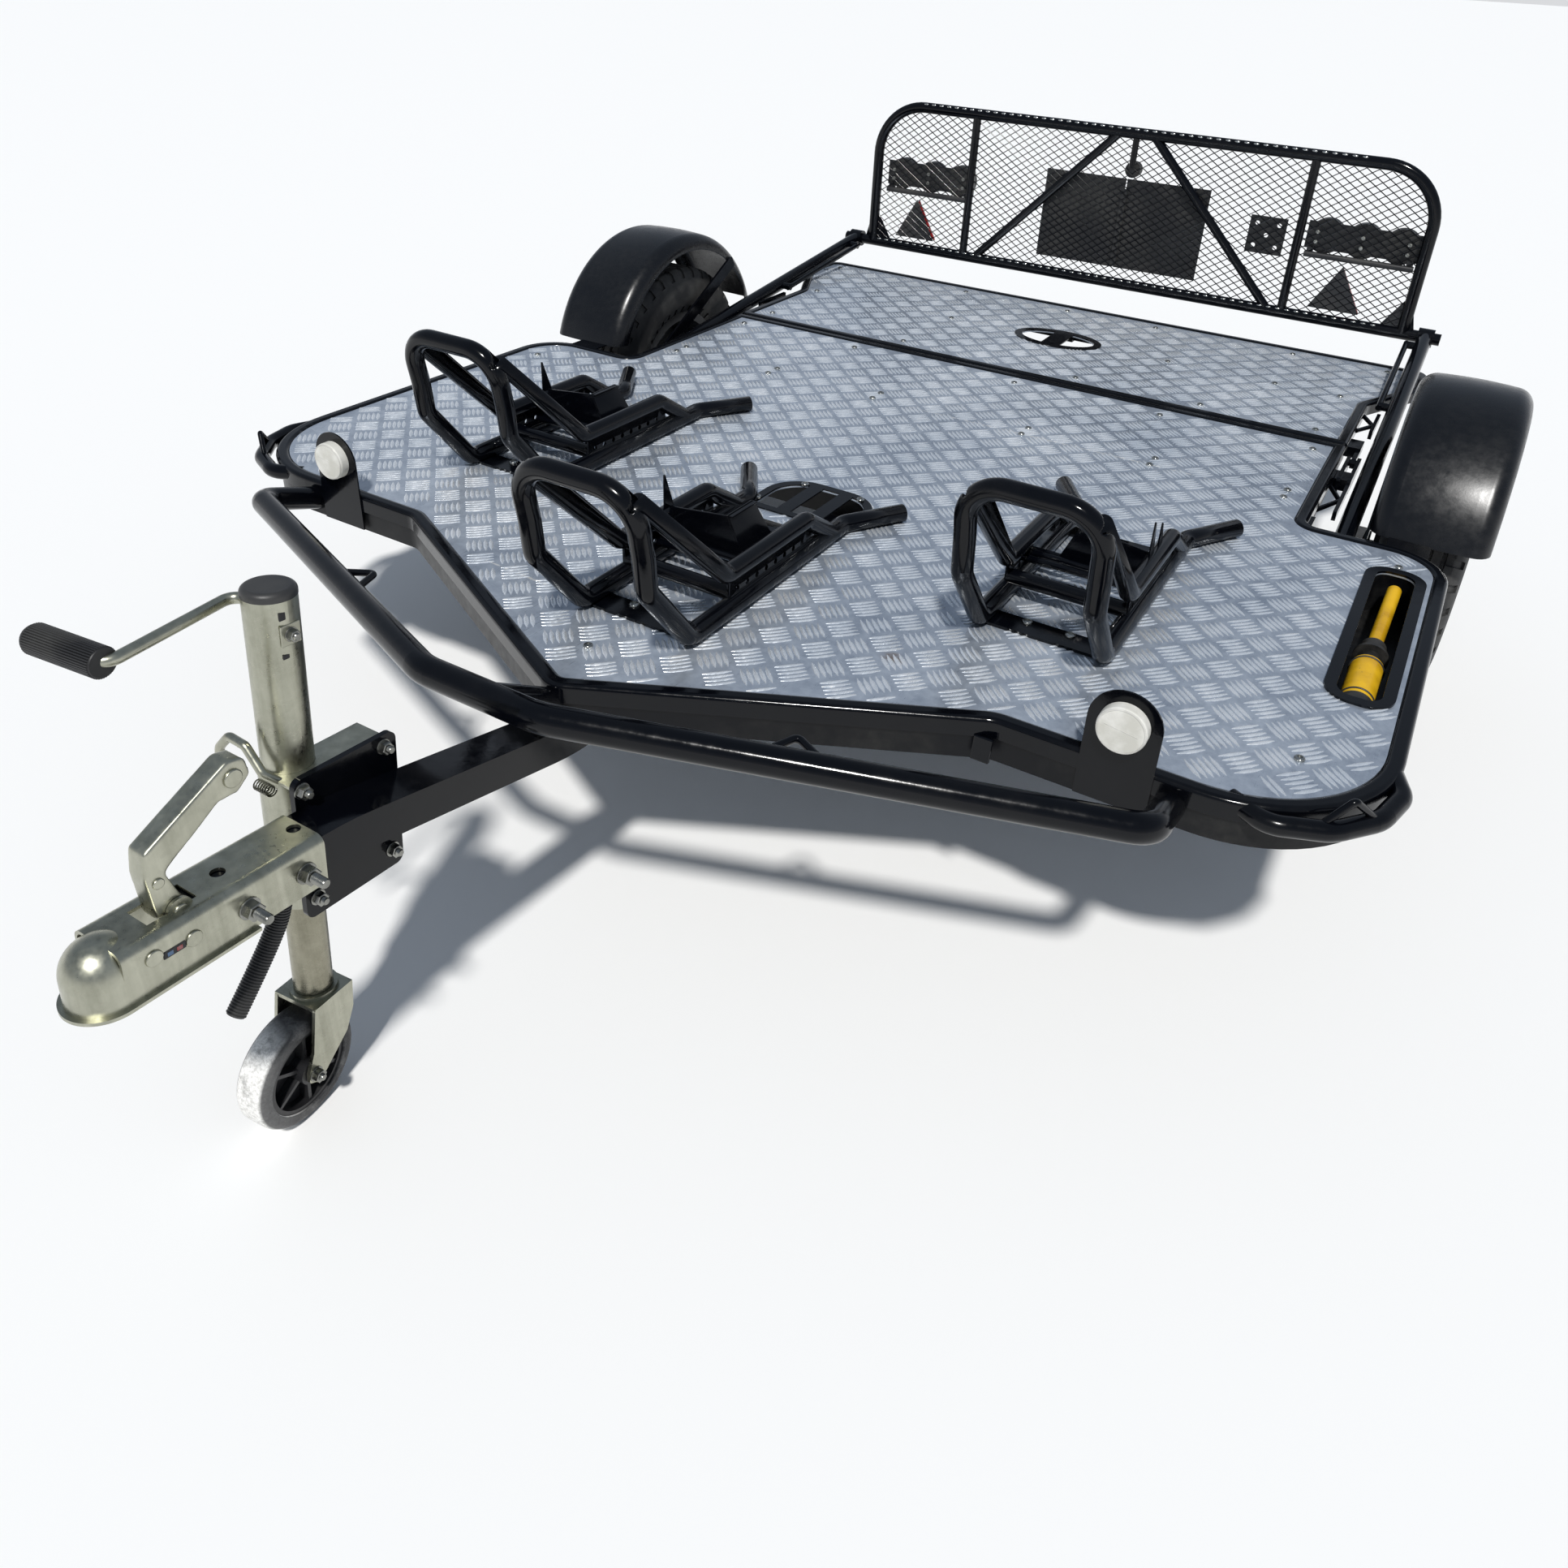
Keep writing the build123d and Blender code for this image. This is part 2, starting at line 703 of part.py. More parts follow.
def make_gate_fittings():
    """The gate's mesh, number plate holder, lamp clusters, reflectors and small plates."""
    back = gate_y + 12
    inside = gate_half_width - 8
    mesh = make_face(
        FilletPolyline(
            (-inside, gate_y, gate_bottom_z + 8), (-inside, gate_y, gate_top_z - 8),
            (inside, gate_y, gate_top_z - 8), (inside, gate_y, gate_bottom_z + 8),
            radius=[0, gate_corner_radius - 8, gate_corner_radius - 8, 0], close=True,
        )
    )
    mesh = extrude(mesh, amount=3, dir=(0, -1, 0))
    nodes["gate_mesh"] = mesh - nodes["gate_frame"]

    holder = block(-252, -13, back, back + 3, 588, 840) + block(-9, 231, back, back + 3, 588, 840)
    holder += block(-40, 40, back + 3, back + 6, 640, 660) + block(-40, 40, back + 3, back + 6, 770, 790)
    for x in (-200, 190):
        holder += long_pin(x, 830, gate_y, back, 5)
    nodes["plate_holder"] = holder - nodes["gate_mesh"] - nodes["gate_frame"]
    lamp = long_pin(0, 866, back, back + 26, 22) + long_pin(0, 866, gate_y, back, 8)
    nodes["plate_holder"] += lamp - nodes["gate_frame"] - nodes["gate_mesh"]

    lamp_z = 764.0
    lens_faces = []
    for name, centres in (("left", (-725, -625, -530)), ("right", (556, 651, 746))):
        low = centres[0] - 50
        high = centres[-1] + 50
        case = block(low, high, back, back + 4, lamp_z - 36, lamp_z + 36)
        for x in centres:
            case += long_pin(x, lamp_z, back, back + 30, 46)
        case += gate_rod([(low + 6, lamp_z - 50), (high - 6, lamp_z - 50)], 8)
        case += block(low + 10, low + 26, gate_y, back + 4, lamp_z - 50, lamp_z - 30)
        case += block(high - 26, high - 10, gate_y, back + 4, lamp_z - 50, lamp_z - 30)
        nodes[name + "_lamps"] = case - nodes["gate_frame"] - nodes["gate_mesh"]
        lenses = [long_pin(x, lamp_z, back + 30, back + 40, 41) for x in centres]
        for lens in lenses:
            lens_faces.append(fillet(lens.edges().group_by(Axis.Y)[-1], 5))
    nodes["lamp_lenses"] = Compound(lens_faces)

    signs = []
    for x in (-661, 620):
        base = 576.0
        corners = [(x - 65, back, base), (x + 65, back, base), (x, back, base + 113)]
        face = make_face(Polyline(*corners, close=True))
        signs.append(extrude(face, amount=8, dir=(0, 1, 0)) + long_pin(x, base + 40, gate_y, back, 6))
    signs = signs[0] + signs[1]
    nodes["reflectors"] = signs - nodes["gate_mesh"]
    square = block(352, 451, back, back + 3, 693, 793) + long_pin(401, 700, gate_y, back, 5)
    for x, z in ((372, 713), (431, 713), (372, 773), (431, 773), (401, 743)):
        square -= long_pin(x, z, back - 5, back + 10, 6)
    nodes["socket_plate"] = square - nodes["gate_mesh"]


# ---------------------------------------------------------------- chocks
def chock_side(x, foot_y, tip_side):
    """One side of a chock: bottom rail, sloped foot, upright and the V brace behind it."""
    r = chock_tube_radius
    base = deck_top + r
    knee_y, knee_z = chock_knee
    valley_y, valley_z = chock_valley
    hump_y, hump_z = chock_hump
    tip_x, tip_y, tip_z = chock_tip
    end = (x, foot_y + knee_y - 6, deck_top + knee_z + 60)
    rail = rod(
        [
            (x + tip_side * tip_x, foot_y + tip_y, base + tip_z + 0.5), (x, foot_y + chock_rail_length, base),
            (x, foot_y, base), (x, foot_y + knee_y, deck_top + knee_z), end,
        ],
        r, 32,
    )
    brace = rod(
        [
            (x, foot_y - chock_hoop_lean + 5, deck_top + chock_hoop_height - 6),
            (x, foot_y + valley_y, deck_top + valley_z), (x, foot_y + hump_y, deck_top + hump_z),
            (x, foot_y + chock_rail_length - 42, base),
        ],
        r - 1, 30,
    )
    first = foot_y + valley_y + 8
    last = foot_y + hump_y + 18
    plate = block(x - 2.5, x + 2.5, first, last, base, deck_top + valley_z)
    for k in range(8):
        plate -= cross_pin(first + 24 + 28 * k, deck_top + 42, x - 10, x + 10, 5)
    return rail + brace + plate


def make_chock(name, centre, foot_y):
    """A tube chock bolted to the deck, and the folded stop that the tyre rolls into."""
    left = centre - chock_half_width
    right = centre + chock_half_width
    knee_y, knee_z = chock_knee
    top = deck_top + chock_hoop_height
    chock = chock_side(left, foot_y, -1) + chock_side(right, foot_y, 1)
    start = (left, foot_y + knee_y - 6, deck_top + knee_z + 60)
    finish = (right, foot_y + knee_y - 6, deck_top + knee_z + 60)
    corner_y = foot_y - chock_hoop_lean
    chock += rod([start, (left, corner_y, top), (right, corner_y, top), finish], chock_tube_radius, 60)
    chock += block(left, right, foot_y + 10, foot_y + 56, deck_top, deck_top + 5)
    chock += block(left, right, foot_y + 395, foot_y + 430, deck_top, deck_top + 5)
    chock += cross_pin(foot_y + 116, deck_top + 38, left, right, 13)
    nodes[name + "_chock"] = chock - nodes["deck_plate"] - nodes["opening_trims"]

    gap = 1.0
    half = chock_half_width - 2.5 - gap
    y = foot_y + stop_y
    profile = [(y, deck_top + 30), (y + 62, deck_top + 104)]
    profile += [(y + 128, deck_top + 96), (y + 166, deck_top + 30)]
    stop = side_plate(profile, centre - half, centre + half, 4)
    hollow = [
        (y + 8, deck_top + 25), (y + 64, deck_top + 100), (y + 124, deck_top + 92), (y + 158, deck_top + 25),
    ]
    stop -= side_plate(hollow, centre - half + 3, centre + half - 3)
    ear = [(y + 20, deck_top + 50), (y + 75, deck_top + 104), (y + 46, deck_top + 154)]
    for x in (centre - half, centre + half - 3):
        stop += side_plate(ear, x, x + 3)
    stop += cross_pin(y + 74, deck_top + 44, centre - half - gap, centre + half + gap, 4.5)
    nodes[name + "_wheel_stop"] = stop - nodes[name + "_chock"]


# ---------------------------------------------------------------- front tubes and lamps
def make_nose_bar():
    """The bumper tube rising round the pointed front, its stubs and the rope loops."""
    corner_x, corner_y, corner_z = nose_corner
    middle_x, middle_y, middle_z = nose_middle
    stub_z = frame_low + 24
    path = [
        (806, deck_front + 30, stub_z), nose_corner, nose_middle,
        (-middle_x, middle_y, middle_z), (-corner_x, corner_y, corner_z), (-806, deck_front + 30, stub_z),
    ]
    bar = rod(path, nose_bar_radius, [40, 90, 90, 40])
    bar += rod([(0, apex_front + 20, stub_z + 10), (0, middle_y, middle_z)], 16)
    along = Vector(*nose_middle) - Vector(*nose_corner)
    share = (corner_x - rope_loop_x) / (corner_x - middle_x)
    centre = Vector(*nose_corner) + along * share + Vector(0, 0, 6)
    half = along.normalized() * (rope_loop_base / 2)
    inward = Vector(-along.Y, along.X, 0).normalized() * -rope_loop_reach
    loop = rod([tuple(centre - half), tuple(centre + inward), tuple(centre + half)], 5.5, 8)
    bar += both_sides(loop)
    nodes["nose_bar"] = bar - nodes["deck_trim"] - nodes["deck_frame"]


def make_corner_bars():
    """Small bumper loops round the deck's front corners, each with a standing tie loop."""
    z = corner_bar_z
    bar = rod(
        [(872, -1318, z), (925, -1345, z), (998, -1314, z), (1047, -1256, z), (1065, -1190, z),
         (1046, -1136, z)],
        corner_bar_radius, [40, 60, 60, 40],
    )
    bar += rod([(978, -1320, z), (1012, -1298, z + 44), (1045, -1258, z)], 5, 6)
    bars = both_sides(bar) - nodes["deck_plate"]
    nodes["corner_bars"] = bars - nodes["deck_frame"] - nodes["deck_trim"]


def make_marker_lamps():
    """Round white lamps on round-topped plates at the front edge."""
    x = 730.0
    z = deck_top + 65
    plate = make_face(
        Polyline((x - 50, deck_front, frame_low + 4), (x - 50, deck_front, z), (x + 50, deck_front, z),
                 (x + 50, deck_front, frame_low + 4), close=True)
    )
    bracket = extrude(plate, amount=3, dir=(0, -1, 0)) + long_pin(x, z, deck_front - 3, deck_front, 50)
    nodes["marker_brackets"] = both_sides(bracket)
    lamp = long_pin(x, z, deck_front - 21, deck_front - 3, 34)
    lamp = fillet(lamp.edges().group_by(Axis.Y)[0], 5)
    nodes["marker_lamps"] = both_sides(lamp)


# ---------------------------------------------------------------- drawbar and coupling
def make_drawbar():
    """The square drawbar: level under the deck, then up to the coupling in two bends."""
    level = frame_low - drawbar_height / 2
    inside = coupling_top - coupling_wall - 1 - drawbar_height / 2
    front = lean_point(0, drawbar_front_y, inside)
    knee = lean_point(0, drawbar_knee_y, inside)
    path = run([front, knee, (0, drawbar_level_y, level), (0, beam_y + 30, level)], drawbar_bend)
    section = Plane(path @ 0, x_dir=(1, 0, 0), z_dir=path % 0) * Rectangle(drawbar_width, drawbar_height)
    nodes["drawbar"] = sweep(section, path=path) - nodes["deck_frame"]


def coupling_body(grow):
    """The coupling's outside, or with a negative growth its inside."""
    half = coupling_half_width + grow
    low = coupling_top - coupling_depth
    top = coupling_top + grow
    nose = coupling_nose_radius + grow
    body = block(-half, half, ball_y, coupling_rear_y, low, top)
    body = fillet(body.edges().filter_by(Axis.Y).group_by(Axis.Z)[-1], 12 + grow)
    dome_z = coupling_top + 5 - coupling_nose_radius
    body += Pos(0, ball_y, dome_z) * Sphere(nose)
    body += post(0, ball_y, low, dome_z, nose)
    return body & block(-90, 90, ball_y - 90, coupling_rear_y, low, top + 40)


def make_coupling():
    """The pressed coupling head with its rolled lower edge, ball seat and handle ears."""
    low = coupling_top - coupling_depth
    half = coupling_half_width
    wall = coupling_wall
    nose = coupling_nose_radius
    shell = coupling_body(0) - coupling_body(-wall)
    lip = block(-half - coupling_lip, half + coupling_lip, ball_y, coupling_rear_y - 90, low - wall, low)
    lip += post(0, ball_y, low - wall, low, nose + coupling_lip)
    lip -= block(-half + wall, half - wall, ball_y, coupling_rear_y, low - 5, low + 1)
    lip -= post(0, ball_y, low - 5, low + 1, nose - wall)
    shell += lip
    for y in (-2137, -2043):
        shell -= post(0, y, coupling_top - 20, coupling_top + 5, 8)
    shell -= block(-16, 16, -2226, -2172, coupling_top - 25, coupling_top + 5)
    ears = cross_pin(ear_y, ear_z, -handle_half_width - 4.5, handle_half_width + 4.5, ear_radius)
    ears -= block(-handle_half_width - 0.5, handle_half_width + 0.5, ear_y - 40, ear_y + 40, 400, 600)
    shell += ears - block(-half, half, ear_y - 40, ear_y + 40, 400, coupling_top - wall)
    ball = ball_radius + ball_clearance
    seat = post(0, ball_y, low - wall, ball_z, nose - wall)
    seat += Pos(0, ball_y, ball_z) * Sphere(nose - wall)
    seat &= block(-nose, nose, ball_y - 60, ball_y + 60, low - wall, coupling_top)
    socket = post(0, ball_y, low - 5, ball_z, ball) + Pos(0, ball_y, ball_z) * Sphere(ball)
    shell += seat - socket
    nodes["coupling_housing"] = lean(shell) - nodes["drawbar"]
    joint_points["ball_socket"] = lean_point(0, ball_y, ball_z)
    joint_points["ball_socket_direction"] = lean_direction(0, 0, -1)


def make_coupling_handle():
    """The folded channel lever on top of the coupling, with a round eye at its end."""
    profile = [
        (-2213, 507), (-2219, 563), (-2216, 591), (-2163, 622), (-2118, 648), (-2098, 644), (-2093, 622),
        (-2110, 606), (-2133, 606), (-2160, 586), (-2184, 570), (-2197, 560), (-2178, 507),
    ]
    half = handle_half_width
    handle = side_plate(profile, -half, half, 5)
    inner = [(y + handle_wall * 1.3, z - handle_wall * 1.3) for y, z in profile[:5]]
    inner += [(-2060, 644), (-2060, 500), (-2200, 500)]
    inner[0] = (-2213 + handle_wall * 1.3, 500)
    handle -= side_plate(inner, -half + handle_wall, half - handle_wall)
    handle += cross_pin(-2115, 627, -half, half, 6)
    nodes["coupling_handle"] = lean(handle) - nodes["coupling_housing"]


# ---------------------------------------------------------------- jack
def make_jack_mount():
    """The plate bolted to the drawbar's side and the galvanised clamp that holds the jack."""
    side = -drawbar_width / 2
    plate_x = side - 8
    rear = clamp_rear_y
    front = clamp_front_y
    top = clamp_top
    low = top - clamp_depth
    outline = [(front - 8, jack_plate_low), (rear, jack_plate_low)]
    outline += [(rear, jack_plate_high), (front - 8, jack_plate_high)]
    plate = lean(side_plate(outline, plate_x, side, 12))
    nodes["jack_plate"] = plate - nodes["drawbar"] - nodes["coupling_housing"]

    edge_x = jack_x - 4
    hold = jack_tube_radius + 0.2
    clamp = block(plate_x - clamp_sheet, plate_x, front, rear, low, top)
    for z in (low, top - clamp_sheet):
        clamp += block(edge_x, plate_x, front, rear, z, z + clamp_sheet)
    clamp += block(edge_x, edge_x + clamp_sheet, front, front + 12, top - 26, top)
    clamp += post(jack_x, jack_y, low, top, clamp_ring_radius)
    clamp -= post(jack_x, jack_y, low - 20, top + 10, hold)
    nodes["jack_clamp"] = lean(clamp)
    flange = top - clamp_sheet
    handle = rod(
        [
            (jack_x + 23, front + 4, flange), (jack_x + 14, front - 9, top + 10),
            (jack_x - 12, front - 9, top + 38), (jack_x - 40, front - 9, top + 40),
            (jack_x - 60, front - 9, top + 18), (jack_x - 68, front - 9, top - 22),
        ],
        5.5, 9,
    )
    nodes["clamp_handle"] = lean(handle) - nodes["jack_clamp"]


def make_conduit():
    """The hose for the lamp cable, hanging from a gland under the drawbar's front."""
    under = coupling_top - coupling_wall - 1 - drawbar_height
    low = under - conduit_gland_depth
    gland = post(0, conduit_y, low, under + 5, conduit_gland_radius)
    nodes["conduit_gland"] = lean(gland) - nodes["drawbar"]
    start = lean_point(0, conduit_y, low)
    below = lean_point(0, conduit_y, low - conduit_drop)
    points = [start, below, *conduit_points]
    bends = []
    for before, corner, after in zip(points, points[1:], points[2:]):
        into = Vector(*corner) - Vector(*before)
        out = Vector(*after) - Vector(*corner)
        half_turn = math.radians(into.get_angle(out)) / 2
        bends.append(0.45 * min(into.length, out.length) / math.tan(half_turn))
    print("conduit bends", " ".join(f"{bend:.1f}" for bend in bends))
    path = FilletPolyline(*points, radius=bends)
    print(f"conduit length {path.length:.0f}")
    nodes["conduit"] = sweep(Plane(path @ 0, z_dir=path % 0) * Circle(conduit_radius), path=path)


def make_jack():
    """The winding jack: outer tube and cap, and the inner tube that slides in it."""
    tube = post(jack_x, jack_y, jack_tube_low, jack_tube_high, jack_tube_radius)
    tube -= post(jack_x, jack_y, jack_tube_low + 24, jack_tube_high + 1, jack_tube_bore)
    tube -= post(jack_x, jack_y, jack_tube_low - 1, jack_tube_low + 30, inner_tube_radius + slide_clearance)
    shaft_hole = cross_pin(jack_y, crank_z, jack_x - 40, jack_x, crank_rod_radius + shaft_clearance)
    upright = Axis((jack_x, jack_y, 0), (0, 0, 1))
    nodes["jack_outer_tube"] = lean(tube - shaft_hole.rotate(upright, crank_turn_deg))
    cap = post(jack_x, jack_y, jack_tube_high, jack_tube_high + 11, jack_tube_radius + 0.5)
    nodes["jack_cap"] = lean(fillet(cap.edges().group_by(Axis.Z)[-1], 7))

    inner_top = jack_tube_low + 150
    inner = post(jack_x, jack_y, fork_top + fork_plate, inner_top, inner_tube_radius)
    inner += post(jack_x, jack_y, inner_top - 25, inner_top, jack_tube_bore - slide_clearance)
    inner -= post(jack_x, jack_y, fork_top + 40, inner_top + 1, inner_tube_radius - 4)
    inner -= post(jack_x, jack_y, fork_top, fork_top + 30, 10 + pin_clearance)
    nodes["jack_inner_tube"] = lean(inner)
    joint_points["jack_inner"] = lean_point(jack_x, jack_y, fork_top + fork_plate)
    joint_points["jack_direction"] = lean_direction(0, 0, 1)


def make_crank():
    """The crank: a shaft into the tube, a bent arm and its grip."""
    y = jack_y
    bend_x = jack_x - crank_shaft
    end_y = y - crank_arm
    end_z = crank_z - crank_drop
    crank = rod(
        [(jack_x - 8, y, crank_z), (bend_x, y, crank_z), (bend_x, end_y, end_z),
         (bend_x - grip_length + 12, end_y, end_z)],
        crank_rod_radius, 16,
    )
    grip = cross_pin(end_y, end_z, bend_x - grip_length, bend_x - 10, grip_radius)
    grip = fillet(grip.edges().group_by(Axis.X)[0], 12)
    upright = Axis((jack_x, jack_y, 0), (0, 0, 1))
    nodes["crank"] = lean(crank.rotate(upright, crank_turn_deg))
    nodes["crank_grip"] = lean((grip - crank).rotate(upright, crank_turn_deg))
    turn = math.radians(crank_turn_deg)
    joint_points["crank"] = lean_point(jack_x, y, crank_z)
    joint_points["crank_direction"] = lean_direction(math.cos(turn), math.sin(turn), 0)


def axle_height():
    """How high the jockey axle is drawn for the leaning wheel to touch the ground."""
    turn = math.radians(castor_turn_deg)
    tip = abs(lean_direction(math.cos(turn), math.sin(turn), 0)[2])
    flat = jockey_width / 2 - jockey_shoulder
    height = (jockey_radius - jockey_shoulder) * math.sqrt(1 - tip * tip) + flat * tip + jockey_shoulder
    along = jack_y - castor_trail * math.cos(turn) - lean_y
    lean_turn = math.radians(lean_deg)
    return lean_z + (height - lean_z + along * math.sin(lean_turn)) / math.cos(lean_turn)


def make_jockey_wheel():
    """The castor fork under the inner tube, and its solid-tyred wheel."""
    wheel_y = jack_y - castor_trail
    wheel_z = axle_height()
    gap = 5.5
    leg_in = jockey_width / 2 + gap
    leg_out = leg_in + 5
    half_length = fork_half_length
    fork = block(jack_x - leg_out, jack_x + leg_out, jack_y - half_length, jack_y + half_length,
                 fork_top - fork_plate, fork_top)
    fork += post(jack_x, jack_y, fork_top, fork_top + fork_plate - 0.5, 30)
    fork += post(jack_x, jack_y, fork_top, fork_top + 26, 10)
    leg = [
        (jack_y - half_length, fork_top), (jack_y + half_length, fork_top), (jack_y + 30, fork_top - 42),
        (jack_y + 16, fork_top - 74), (wheel_y + 18, wheel_z - 9), (wheel_y + 2, wheel_z - 16),
        (wheel_y - 11, wheel_z - 8), (wheel_y - 10, wheel_z + 6), (wheel_y + 1, wheel_z + 34),
    ]
    for x in (jack_x - leg_out, jack_x + leg_in):
        fork += side_plate(leg, x, x + 5, 5)
    fork += cross_pin(wheel_y, wheel_z, jack_x - leg_out - 8, jack_x + leg_out + 8, 8)

    def spun(points, corner):
        outline = [(jack_x + x, wheel_y, wheel_z + r) for x, r in points]
        if corner:
            face = make_face(FilletPolyline(*outline, radius=corner, close=True))
        else:
            face = make_face(Polyline(*outline, close=True))
        return revolve(face, axis=Axis((jack_x, wheel_y, wheel_z), (1, 0, 0)), revolution_arc=360)

    half = jockey_width / 2
    seat = jockey_radius - 20
    shoulder = jockey_shoulder
    tyre = spun([(-half, seat), (-half, jockey_radius), (half, jockey_radius), (half, seat)],
                [2, shoulder, shoulder, 2])
    hub = spun([(-half + 3, seat), (half - 3, seat), (half - 3, seat - 6), (-half + 3, seat - 6)], 0)
    hub += spun([(-3, seat - 2), (3, seat - 2), (3, 14), (-3, 14)], 0)
    hub += cross_pin(wheel_y, wheel_z, jack_x - half - 4, jack_x + half + 4, 17)
    for k in range(6):
        spoke = block(jack_x - half + 5, jack_x + half - 5, wheel_y - 2.5, wheel_y + 2.5, wheel_z + 12,
                      wheel_z + seat - 3)
        hub += spoke.rotate(Axis((jack_x, wheel_y, wheel_z), (1, 0, 0)), 60 * k)
    hub -= cross_pin(wheel_y, wheel_z, jack_x - 60, jack_x + 60, 8 + pin_clearance)
    castor = Axis((jack_x, jack_y, 0), (0, 0, 1))
    nodes["jockey_fork"] = lean(fork.rotate(castor, castor_turn_deg))
    nodes["jockey_tyre"] = lean(tyre.rotate(castor, castor_turn_deg))
    nodes["jockey_rim"] = lean(hub.rotate(castor, castor_turn_deg))
    turn = math.radians(castor_turn_deg)
    joint_points["jockey_fork"] = lean_point(jack_x, jack_y, fork_top)
    joint_points["jockey_wheel"] = lean_point(
        jack_x + castor_trail * math.sin(turn), jack_y - castor_trail * math.cos(turn), wheel_z
    )
    joint_points["jockey_axle_direction"] = lean_direction(math.cos(turn), math.sin(turn), 0)


# ---------------------------------------------------------------- the whole trailer
make_deck()
make_opening_trims()
make_pump()
make_panel()
make_panel_hinges()
make_trusses()
make_drawbar()
make_axle()
make_wheels()
make_fenders()
make_gate_arms()
make_gate_frame()
make_gate_fittings()
make_chock("left", -side_chock_x, side_foot_y)
make_chock("centre", 0, centre_foot_y)
make_chock("right", side_chock_x, side_foot_y)
make_nose_bar()
make_corner_bars()
make_marker_lamps()
make_coupling()
make_coupling_handle()
make_jack_mount()
make_jack()
make_crank()
make_jockey_wheel()
make_conduit()

boxes = [shape.bounding_box() for shape in nodes.values()]
front_end = min(box.min.Y for box in boxes)
rear_end = max(box.max.Y for box in boxes)
shift = -(front_end + rear_end) / 2
os.makedirs("parts", exist_ok=True)
for name, shape in nodes.items():
    export_step(Pos(0, shift, 0) * shape, f"parts/{name}.step")
print("limits: panel", panel_drop_deg, "arms", arm_lift_deg, "gate", gate_fold_deg)
print("limits: jack", -jack_lower, "to", jack_lift)
print(f"shift {shift:.3f}")
for name, point in joint_points.items():
    moved = point if name.endswith("direction") else (point[0], point[1] + shift, point[2])
    print(name, " ".join(f"{value:.4f}" for value in moved))
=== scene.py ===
# A folding trailer for motorcycles: a chequer-plate deck on a black tube frame, a lamp gate on
# long arms behind a tilting rear panel, two road wheels, and a zinc coupling and winding jack.
import json
import math

import bpy
from mathutils import Matrix, Vector
from mathutils.bvhtree import BVHTree


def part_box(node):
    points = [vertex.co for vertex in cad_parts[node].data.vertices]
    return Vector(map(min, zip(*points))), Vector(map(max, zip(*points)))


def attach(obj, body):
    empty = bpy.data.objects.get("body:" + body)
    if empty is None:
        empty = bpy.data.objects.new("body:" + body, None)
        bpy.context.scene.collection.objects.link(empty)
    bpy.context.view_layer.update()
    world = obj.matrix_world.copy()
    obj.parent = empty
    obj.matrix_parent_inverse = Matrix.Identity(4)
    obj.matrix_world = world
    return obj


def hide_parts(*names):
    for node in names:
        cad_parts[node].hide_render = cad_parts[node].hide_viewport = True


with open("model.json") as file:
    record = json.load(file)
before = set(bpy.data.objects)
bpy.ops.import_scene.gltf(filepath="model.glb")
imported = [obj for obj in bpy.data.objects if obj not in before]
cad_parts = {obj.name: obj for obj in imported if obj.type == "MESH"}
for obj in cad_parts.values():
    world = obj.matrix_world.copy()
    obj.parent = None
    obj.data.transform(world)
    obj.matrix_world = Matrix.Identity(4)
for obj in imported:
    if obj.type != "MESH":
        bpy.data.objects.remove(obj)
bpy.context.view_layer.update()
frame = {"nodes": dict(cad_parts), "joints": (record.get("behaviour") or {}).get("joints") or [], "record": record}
nodes = frame["nodes"]


# The camera. It stands in front of the trailer on the pump side, about shoulder high, and looks
# down and across at the jack. A slight roll and shift keep the whole trailer in the frame.
def added(name, data):
    """A new object in the scene that holds this data."""
    thing = bpy.data.objects.new(name, data)
    bpy.context.scene.collection.objects.link(thing)
    return thing


camera_data = bpy.data.cameras.new("camera")
camera_data.sensor_width = 36.0
camera_data.lens = 27.32
camera_data.shift_x = -0.0150
camera_data.shift_y = -0.1237
camera = added("camera", camera_data)
stand = Vector((0.9752, -1.9790, 1.4124))
turn = math.radians(-28.80)
dip = math.radians(28.83)
roll = math.radians(-3.20)
look = Vector((math.sin(turn) * math.cos(dip), math.cos(turn) * math.cos(dip), -math.sin(dip)))
level_right = look.cross(Vector((0, 0, 1))).normalized()
level_down = look.cross(level_right)
right = math.cos(roll) * level_right + math.sin(roll) * level_down
down = math.cos(roll) * level_down - math.sin(roll) * level_right
camera.matrix_world = Matrix((
    (right.x, -down.x, -look.x, stand.x),
    (right.y, -down.y, -look.y, stand.y),
    (right.z, -down.z, -look.z, stand.z),
    (0, 0, 0, 1),
))
bpy.context.scene.camera = camera


# The lamp cable's hose. It is a black corrugated plastic conduit that comes out of a gland
# under the front of the drawbar and hangs in front of the jack.
def clear_selection():
    """Leaves edit mode, with nothing selected."""
    if bpy.context.object and bpy.context.object.mode != "OBJECT":
        bpy.ops.object.mode_set(mode="OBJECT")
    bpy.ops.object.select_all(action="DESELECT")


def hold(piece):
    """Selects one piece alone and makes it the active one."""
    clear_selection()
    piece.select_set(True)
    bpy.context.view_layer.objects.active = piece


def all_over(piece, operator, **settings):
    """One edit-mode operator on the whole of a piece."""
    hold(piece)
    bpy.ops.object.mode_set(mode="EDIT")
    bpy.ops.mesh.select_all(action="SELECT")
    operator(**settings)
    bpy.ops.object.mode_set(mode="OBJECT")


def smooth(piece, degrees):
    """Shades a piece smooth, apart from edges sharper than an angle."""
    hold(piece)
    bpy.ops.object.shade_smooth_by_angle(angle=math.radians(degrees))


def new_material(name):
    """A node material: its tree, its Principled shader and the object's own coordinates."""
    material = bpy.data.materials.new(name)
    material.use_nodes = True
    tree = material.node_tree
    shader = tree.nodes["Principled BSDF"]
    place = tree.nodes.new("ShaderNodeTexCoord").outputs["Object"]
    return material, tree, shader, place


